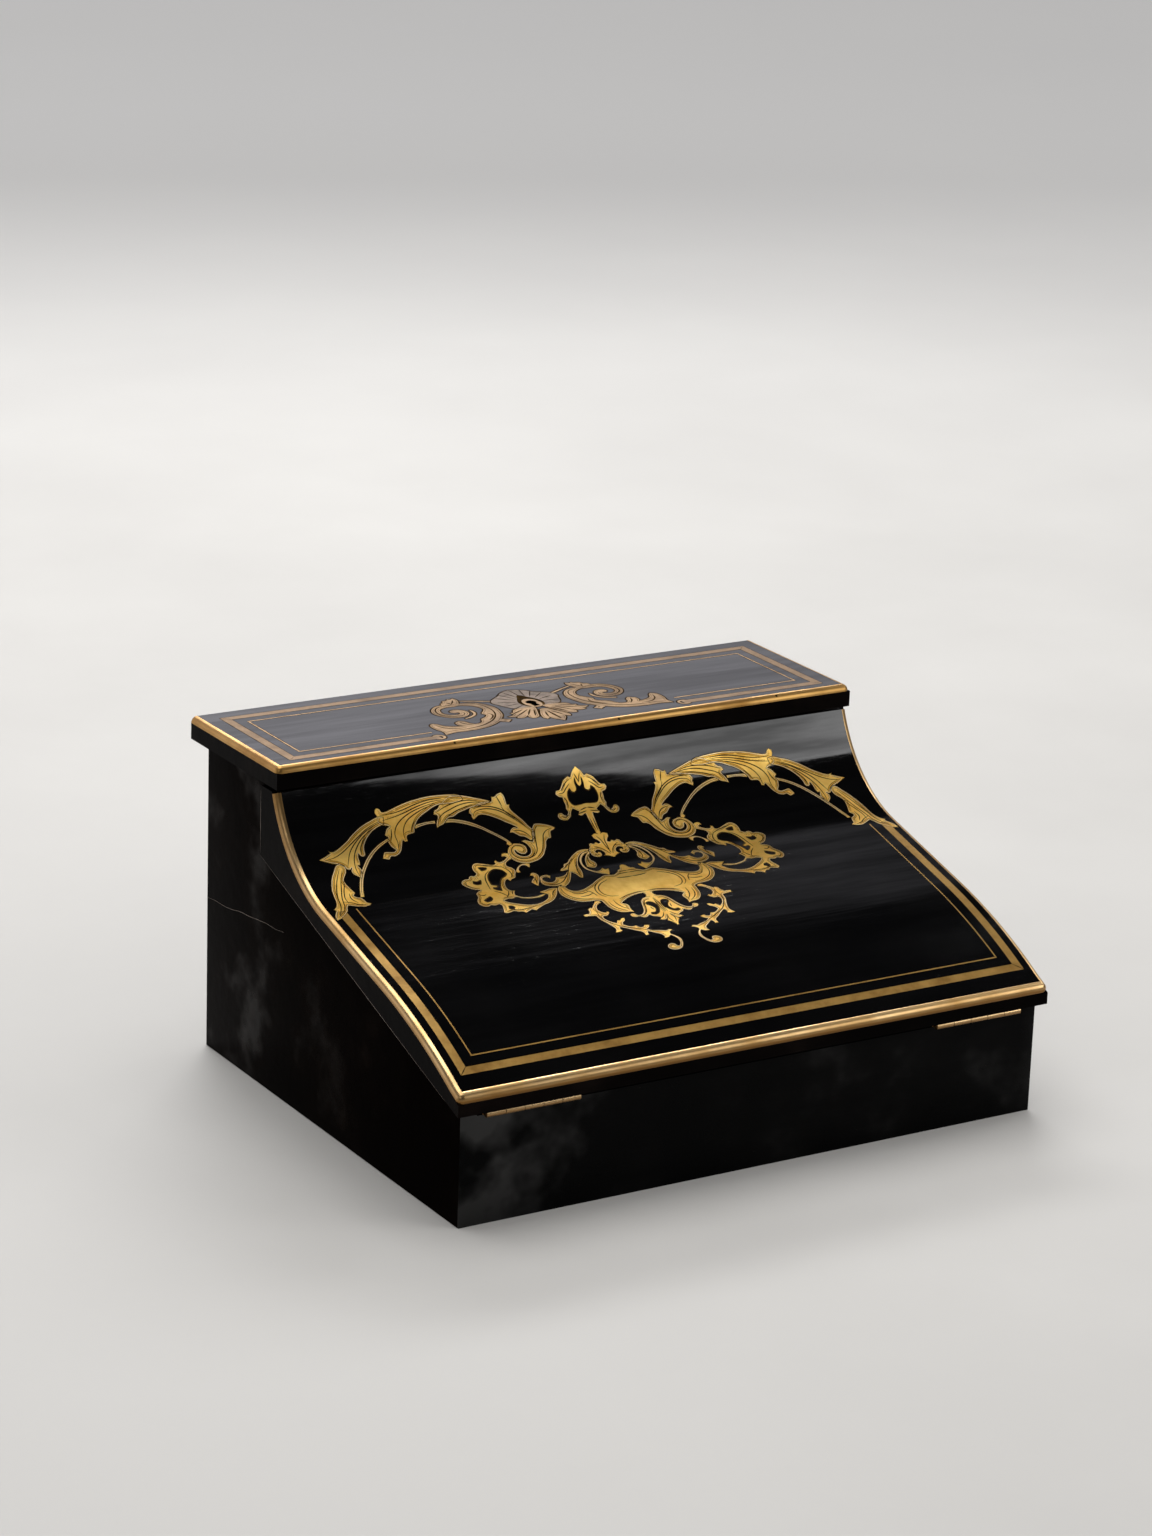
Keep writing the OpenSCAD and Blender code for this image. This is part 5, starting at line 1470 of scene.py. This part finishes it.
# %% Sides with round arrises
INNER_HALF, SIDE_T = 161.0, 9.0
ARRIS_R, ARRIS_STEPS, ARRIS_SHARP = 0.45, 3, 50.0
SAME_PLACE, FACES_FRONT = 1e-6, -0.7
SIDE_OUTLINE = [(0.0, 0.0), (270.0, 0.0), (270.0, 166.6), (202.8, 166.6), (202.8, 127.238),
                (0.0, 60.403)]


def side_board(side):
    """Vertices and faces of one side, its outer edges rounded."""
    outer, inner = side * (INNER_HALF + SIDE_T), side * INNER_HALF
    form = bmesh.new()
    rims = [[form.verts.new(in_box(x, y, z)) for y, z in SIDE_OUTLINE] for x in (outer, inner)]
    for rim in rims:
        form.faces.new(rim)
    for k in range(len(SIDE_OUTLINE)):
        j = (k + 1) % len(SIDE_OUTLINE)
        form.faces.new([rims[0][k], rims[0][j], rims[1][j], rims[1][k]])
    arrises = [e for e in form.edges
               if all(abs(abs(v.co.x) - abs(outer) * MM) < SAME_PLACE for v in e.verts)]
    bmesh.ops.bevel(form, geom=arrises, offset=ARRIS_R * MM, segments=ARRIS_STEPS, profile=0.5,
                    affect="EDGES")
    form.verts.index_update()
    verts = [tuple(v.co) for v in form.verts]
    faces = [[v.index for v in f.verts] for f in form.faces]
    form.free()
    return verts, faces


for name, side in (("left_side", -1), ("right_side", 1)):
    board = new_piece("board_" + name, *side_board(side), side_polish, "carcass", "ebonised_wood",
                      [name], ARRIS_SHARP)
    board.data.materials.append(front_polish)
    for face in board.data.polygons:
        face.material_index = int(face.normal.y < FACES_FRONT)

# %% [markdown]
# ## Wear lines and a painted highlight
# On the lower arris of the flap's cheeks a pale hairline is painted: a painted highlight where a
# rounded arris would catch the light, coloured as bare wood where the stain is rubbed thin. The left
# side has an old shrinkage crack along the grain. Both are thin strips laid on the surface, because
# a shader can not find one edge of a CAD mesh.

# %% Painted highlight and wear on the cheeks, crack on the side
WORN_HIGHLIGHT_WIDTH, WORN_HIGHLIGHT_LIFT, WORN_HIGHLIGHT_SINK, WORN_HIGHLIGHT_FROM, HEEL_TOP = 0.40, 0.25, 0.05, 12.0, 164.0
SLOPE_STOPS, HEEL_STOPS = 60, 16
CRACK_WIDTH, CRACK_LIFT, CRACK_SINK, CRACK_STEP = 0.20, 0.02, 0.2, 8.0
CRACK = "1079,332 1040,336 1004,337 964,341 928,348 888,351 848,356 812,360 772,361 732,366"

# Bare wood colour, for the crack and for the painted highlight on the cheeks.
bare_wood_and_highlight, tree, shader = new_finish("bare_wood_and_highlight")
wood = use_group(tree, wood_figure, {"Figure Scale": 3.0})
plug(tree, shader, {
    "Base Color": tint(tree, wood["Figure"], (0.20, 0.155, 0.12), (0.10, 0.075, 0.055)),
    "Roughness": between(tree, wood["Figure"], 0.35, 0.6)})
set_normal(tree, shader, [(wood["Pore"], -PORE_DEPTH)])


def on_back(x, p, lift):
    """The flap's inner side: p from the hinge axis, lift out of the wood."""
    y, z = AXIS + p * along(SLOPE) + (HALF_GAP - lift) * across(SLOPE)
    return in_box(x, y, z)


def on_heel(x, z, lift):
    """The flap's upright heel, lift out of the wood."""
    return in_box(x, HEEL[0] + lift, z)


def on_left_side(y, z, lift):
    """The outside of the carcass's left side, lift out of the wood."""
    return in_box(-INNER_HALF - SIDE_T - lift, y, z)


heel_p = math.sqrt(heel_reach**2 - HALF_GAP**2)
# Painted highlight: pale strips on the lower arris of each cheek, where a rounded arris would catch the
# light.
worn = []
for x in (-HALF_WIDTH + WORN_HIGHLIGHT_WIDTH / 2, HALF_WIDTH - WORN_HIGHLIGHT_WIDTH / 2):
    slope_run = np.array([(x, p) for p in np.linspace(WORN_HIGHLIGHT_FROM, heel_p, SLOPE_STOPS)])
    heel_run = np.array([(x, z) for z in np.linspace(HEEL[1], HEEL_TOP, HEEL_STOPS)])
    worn += [ribbon(run, WORN_HIGHLIGHT_WIDTH, place, WORN_HIGHLIGHT_LIFT, -WORN_HIGHLIGHT_SINK)
             for run, place in ((slope_run, on_back), (heel_run, on_heel))]
new_piece("flap_cheek_wear_and_highlight", *join(worn), bare_wood_and_highlight, "flap", "ebonised_wood")
crack = smooth(drawn(CRACK), False, CRACK_STEP) * QUARTER
new_piece("side_crack", *ribbon(crack, CRACK_WIDTH, on_left_side, CRACK_LIFT, -CRACK_SINK),
          bare_wood_and_highlight, "carcass", "ebonised_wood")

# %% [markdown]
# ## Writing leather and felt
# The leather is a thin skiver glued into a shallow recess of the flap's inner side, with a gilt
# line round it, and the felt is laid on the bottom of the paper well. Both are sheets, slightly
# uneven, because a glued skin and a laid cloth are never quite flat. A fixed wave is enough for
# that: a cloth simulation would only leave them lying as they are.

# %% Leather
LEATHER_BORDER, LEATHER_FROM, LEATHER_T, LEATHER_SINK = 20.0, 18.0, 1.2, 0.02
LEATHER_X, LEATHER_TO = INNER_HALF - LEATHER_BORDER, heel_p - LEATHER_BORDER
LEATHER_COLUMNS, LEATHER_ROWS, LEATHER_WAVE, GLUED_EDGE = 80, 50, 0.12, 3.0
UNDERSIDE = -0.5
WAVE_ACROSS, WAVE_ALONG, WAVE_SHIFT = 0.11, 0.13, 1.3
WAVE_BEND, BEND_ALONG = 0.8, 0.07
GILT_LINES, GILT_LIFT, GILT_SINK = ((7.0, 1.0), (9.6, 0.5)), 0.02, 0.3
GILT_STEP, GILT_SPACING = 4.0, 8.0


def uneven(x, y, size):
    """A fixed gentle wave, 0 to size."""
    first = math.sin(x * WAVE_ACROSS + WAVE_BEND * math.sin(y * BEND_ALONG))
    second = math.sin(y * WAVE_ALONG + WAVE_SHIFT)
    return size * (0.5 + 0.25 * first + 0.25 * second)


def on_leather(x, p, lift):
    """The leather's upper side dips in waves that die out towards its glued edge."""
    edge = min(LEATHER_X - abs(x), p - LEATHER_FROM, LEATHER_TO - p)
    soft = min(1.0, max(edge, 0.0) / GLUED_EDGE)
    dip = uneven(x, p, LEATHER_WAVE) * soft if lift > UNDERSIDE else 0.0
    return on_back(x, p, lift - dip)


leather_x = np.linspace(-LEATHER_X, LEATHER_X, LEATHER_COLUMNS)
leather_p = np.linspace(LEATHER_FROM, LEATHER_TO, LEATHER_ROWS)
sheet = grid_slab(leather_x, leather_p, on_leather, -LEATHER_SINK, -LEATHER_T)
leather = new_piece("leather_skiver", *sheet, skiver, "flap", "leather", ["writing_leather"])


def leather_frame(inset):
    """A rectangle inside the leather's edge."""
    x, p0, p1 = LEATHER_X - inset, LEATHER_FROM + inset, LEATHER_TO - inset
    return straight([(-x, p0), (x, p0), (x, p1), (-x, p1)], GILT_STEP)


gilt_parts = []
for inset, width in GILT_LINES:
    line = fill([leather_frame(inset)], [leather_frame(inset + width)], GILT_SPACING)
    gilt_parts.append(slab(*line, on_leather, GILT_LIFT, -GILT_SINK))
new_piece("gilt_lines", *join(gilt_parts), inlay_brass, "flap", "leather")

# %% Felt
FELT_Z, FELT_T, FELT_WAVE = 7.0, 1.0, 0.2
FELT_Y0, FELT_Y1 = 10.0, 261.0
FELT_COLUMNS, FELT_ROWS = 90, 70


def on_bottom(x, y, lift):
    """The bottom of the paper well, with waves in the felt's upper side."""
    return in_box(x, y, FELT_Z + (lift - uneven(x, y, FELT_WAVE) if lift > 0 else 0.0))


felt_x = np.linspace(-INNER_HALF, INNER_HALF, FELT_COLUMNS)
felt_y = np.linspace(FELT_Y0, FELT_Y1, FELT_ROWS)
sheet = grid_slab(felt_x, felt_y, on_bottom, FELT_T, 0.0)
lining = new_piece("felt_lining", *sheet, felt, "carcass", "lining", ["well_lining"])

# %% [markdown]
# ## Floor and light
# The box stands on a plain pale floor in a quiet studio. Black polish shows its surroundings like a
# dark mirror, so the light is arranged for what it reflects: pale near the horizon, which the lid
# mirrors as slate grey, and dim above, which leaves the flap black. The floor is a wide disc. Its
# colour grows paler far off, so that it meets the wall softly.

# %% Floor
FLOOR_R, FLOOR_PARTS = 9.0, 96
FLOOR_NEAR, FLOOR_FAR = 0.7, 3.4

floor_finish, tree, shader = new_finish("pale_floor")
place = coordinates(tree)
mottle = noise(tree, place, 3.0, 5.0, 0.6)
near_box = tint(tree, spread(tree, mottle, NOISE_LOW, NOISE_HIGH),
                (0.54, 0.525, 0.50), (0.59, 0.575, 0.55))
reach = add_node(tree, "ShaderNodeVectorMath", {0: place}, operation="LENGTH").outputs["Value"]
far_off = add_node(tree, "ShaderNodeMapRange", {
    "Value": reach, "From Min": FLOOR_NEAR, "From Max": FLOOR_FAR}, interpolation_type="SMOOTHSTEP")
plug(tree, shader, {
    "Base Color": tint(tree, far_off.outputs["Result"], near_box, (0.97, 0.955, 0.93)),
    "Roughness": spread(tree, mottle, NOISE_LOW, NOISE_HIGH, 0.55, 0.7)})
floor_mesh = bpy.data.meshes.new("floor")
floor_rim = [(FLOOR_R * math.cos(a), FLOOR_R * math.sin(a), 0.0)
             for a in np.linspace(0.0, 2 * math.pi, FLOOR_PARTS, endpoint=False)]
floor_mesh.from_pydata(floor_rim, [], [list(range(FLOOR_PARTS))])
floor_mesh.materials.append(floor_finish)
floor = bpy.data.objects.new("floor", floor_mesh)
scene.collection.objects.link(floor)
print("Floor radius", FLOOR_R, "m")

# %% [markdown]
# ### The studio's walls
# A world shader is the cheapest studio. What the camera and mirrors see is a wall that is pale near
# the horizon behind the box, uneven as a real wall is, and dim above. Dull surfaces get an even
# soft light instead, so that the mirror's picture and the light can be set apart.

# %% World
WALL_RISE, WALL_WAVE, WALL_SPOTS = (0.42, 0.68), 0.06, 7.0
WALL_BEHIND, WALL_RIGHT, RIGHT_LEVEL = (-0.25, 0.45), (0.42, 0.60), 0.50
WALL_DIM, WALL_PALE, SOFT_LIGHT = (0.02, 0.02, 0.021), (0.86, 0.845, 0.91), (0.52, 0.52, 0.525)

world = bpy.data.worlds.new("studio")
scene.world = world
world.use_nodes = True
tree = world.node_tree
tree.nodes.clear()
path = tree.nodes.new("ShaderNodeLightPath").outputs
mirrored = both(tree, "MAXIMUM", path["Is Glossy Ray"], path["Is Transmission Ray"])
seen = both(tree, "MAXIMUM", path["Is Camera Ray"], mirrored)
around = coordinates(tree, "Generated")
way = add_node(tree, "ShaderNodeSeparateXYZ", {0: around}).outputs
wave = spread(tree, noise(tree, around, WALL_SPOTS), NOISE_LOW, NOISE_HIGH, -WALL_WAVE, WALL_WAVE)
low = spread(tree, both(tree, "ADD", way["Z"], wave), *WALL_RISE, 1.0, 0.0)
behind = spread(tree, way["Y"], *WALL_BEHIND)
left_bright = spread(tree, way["X"], *WALL_RIGHT, 1.0, RIGHT_LEVEL)
pale = both(tree, "MULTIPLY", both(tree, "MULTIPLY", low, behind), left_bright)
walls = tint(tree, pale, WALL_DIM, WALL_PALE)
studio = add_node(tree, "ShaderNodeBackground", {
    "Color": tint(tree, seen, SOFT_LIGHT, walls), "Strength": 1.0})
sky = tree.nodes.new("ShaderNodeOutputWorld")
tree.links.new(studio.outputs[0], sky.inputs["Surface"])
print("World:", world.name)

# %% [markdown]
# ### Lamps
# Softboxes fill the satin brass. Most of them stand off the mirror directions, so that the black
# stays black. The one on the right is placed and rolled so that the flap's hollow mirrors it as a
# bright window.

# %% Lamps
def softbox(name, at, size, watts, aim=(0.0, 0.0, 0.1), roll=0.0):
    """A soft lamp panel that faces the box, turned in its own plane by roll degrees."""
    lamp = bpy.data.lights.new(name, "AREA")
    lamp.shape, lamp.size, lamp.size_y, lamp.energy = "RECTANGLE", size[0], size[1], watts
    panel = bpy.data.objects.new(name, lamp)
    facing = (Vector(at) - Vector(aim)).to_track_quat("Z", "Y").to_matrix().to_4x4()
    rolled = Matrix.Rotation(math.radians(roll), 4, "Z")
    panel.matrix_world = Matrix.Translation(at) @ facing @ rolled
    scene.collection.objects.link(panel)
    print(name, "at", at, watts, "W")


softbox("softbox_top", (-0.17, 0.46, 1.70), (1.3, 1.2), 14.0, (-0.17, 0.46, 0.0))
softbox("softbox_left", (-1.5, -1.0, 1.35), (0.9, 0.9), 2.5)
softbox("softbox_right", (1.28, -1.25, 0.95), (0.80, 1.30), 8.5, roll=-42.0)
softbox("softbox_side", (1.56, 0.16, 1.42), (0.90, 0.50), 3.4)
softbox("softbox_back", (0.64, 1.63, 1.31), (1.4, 0.40), 17.0)
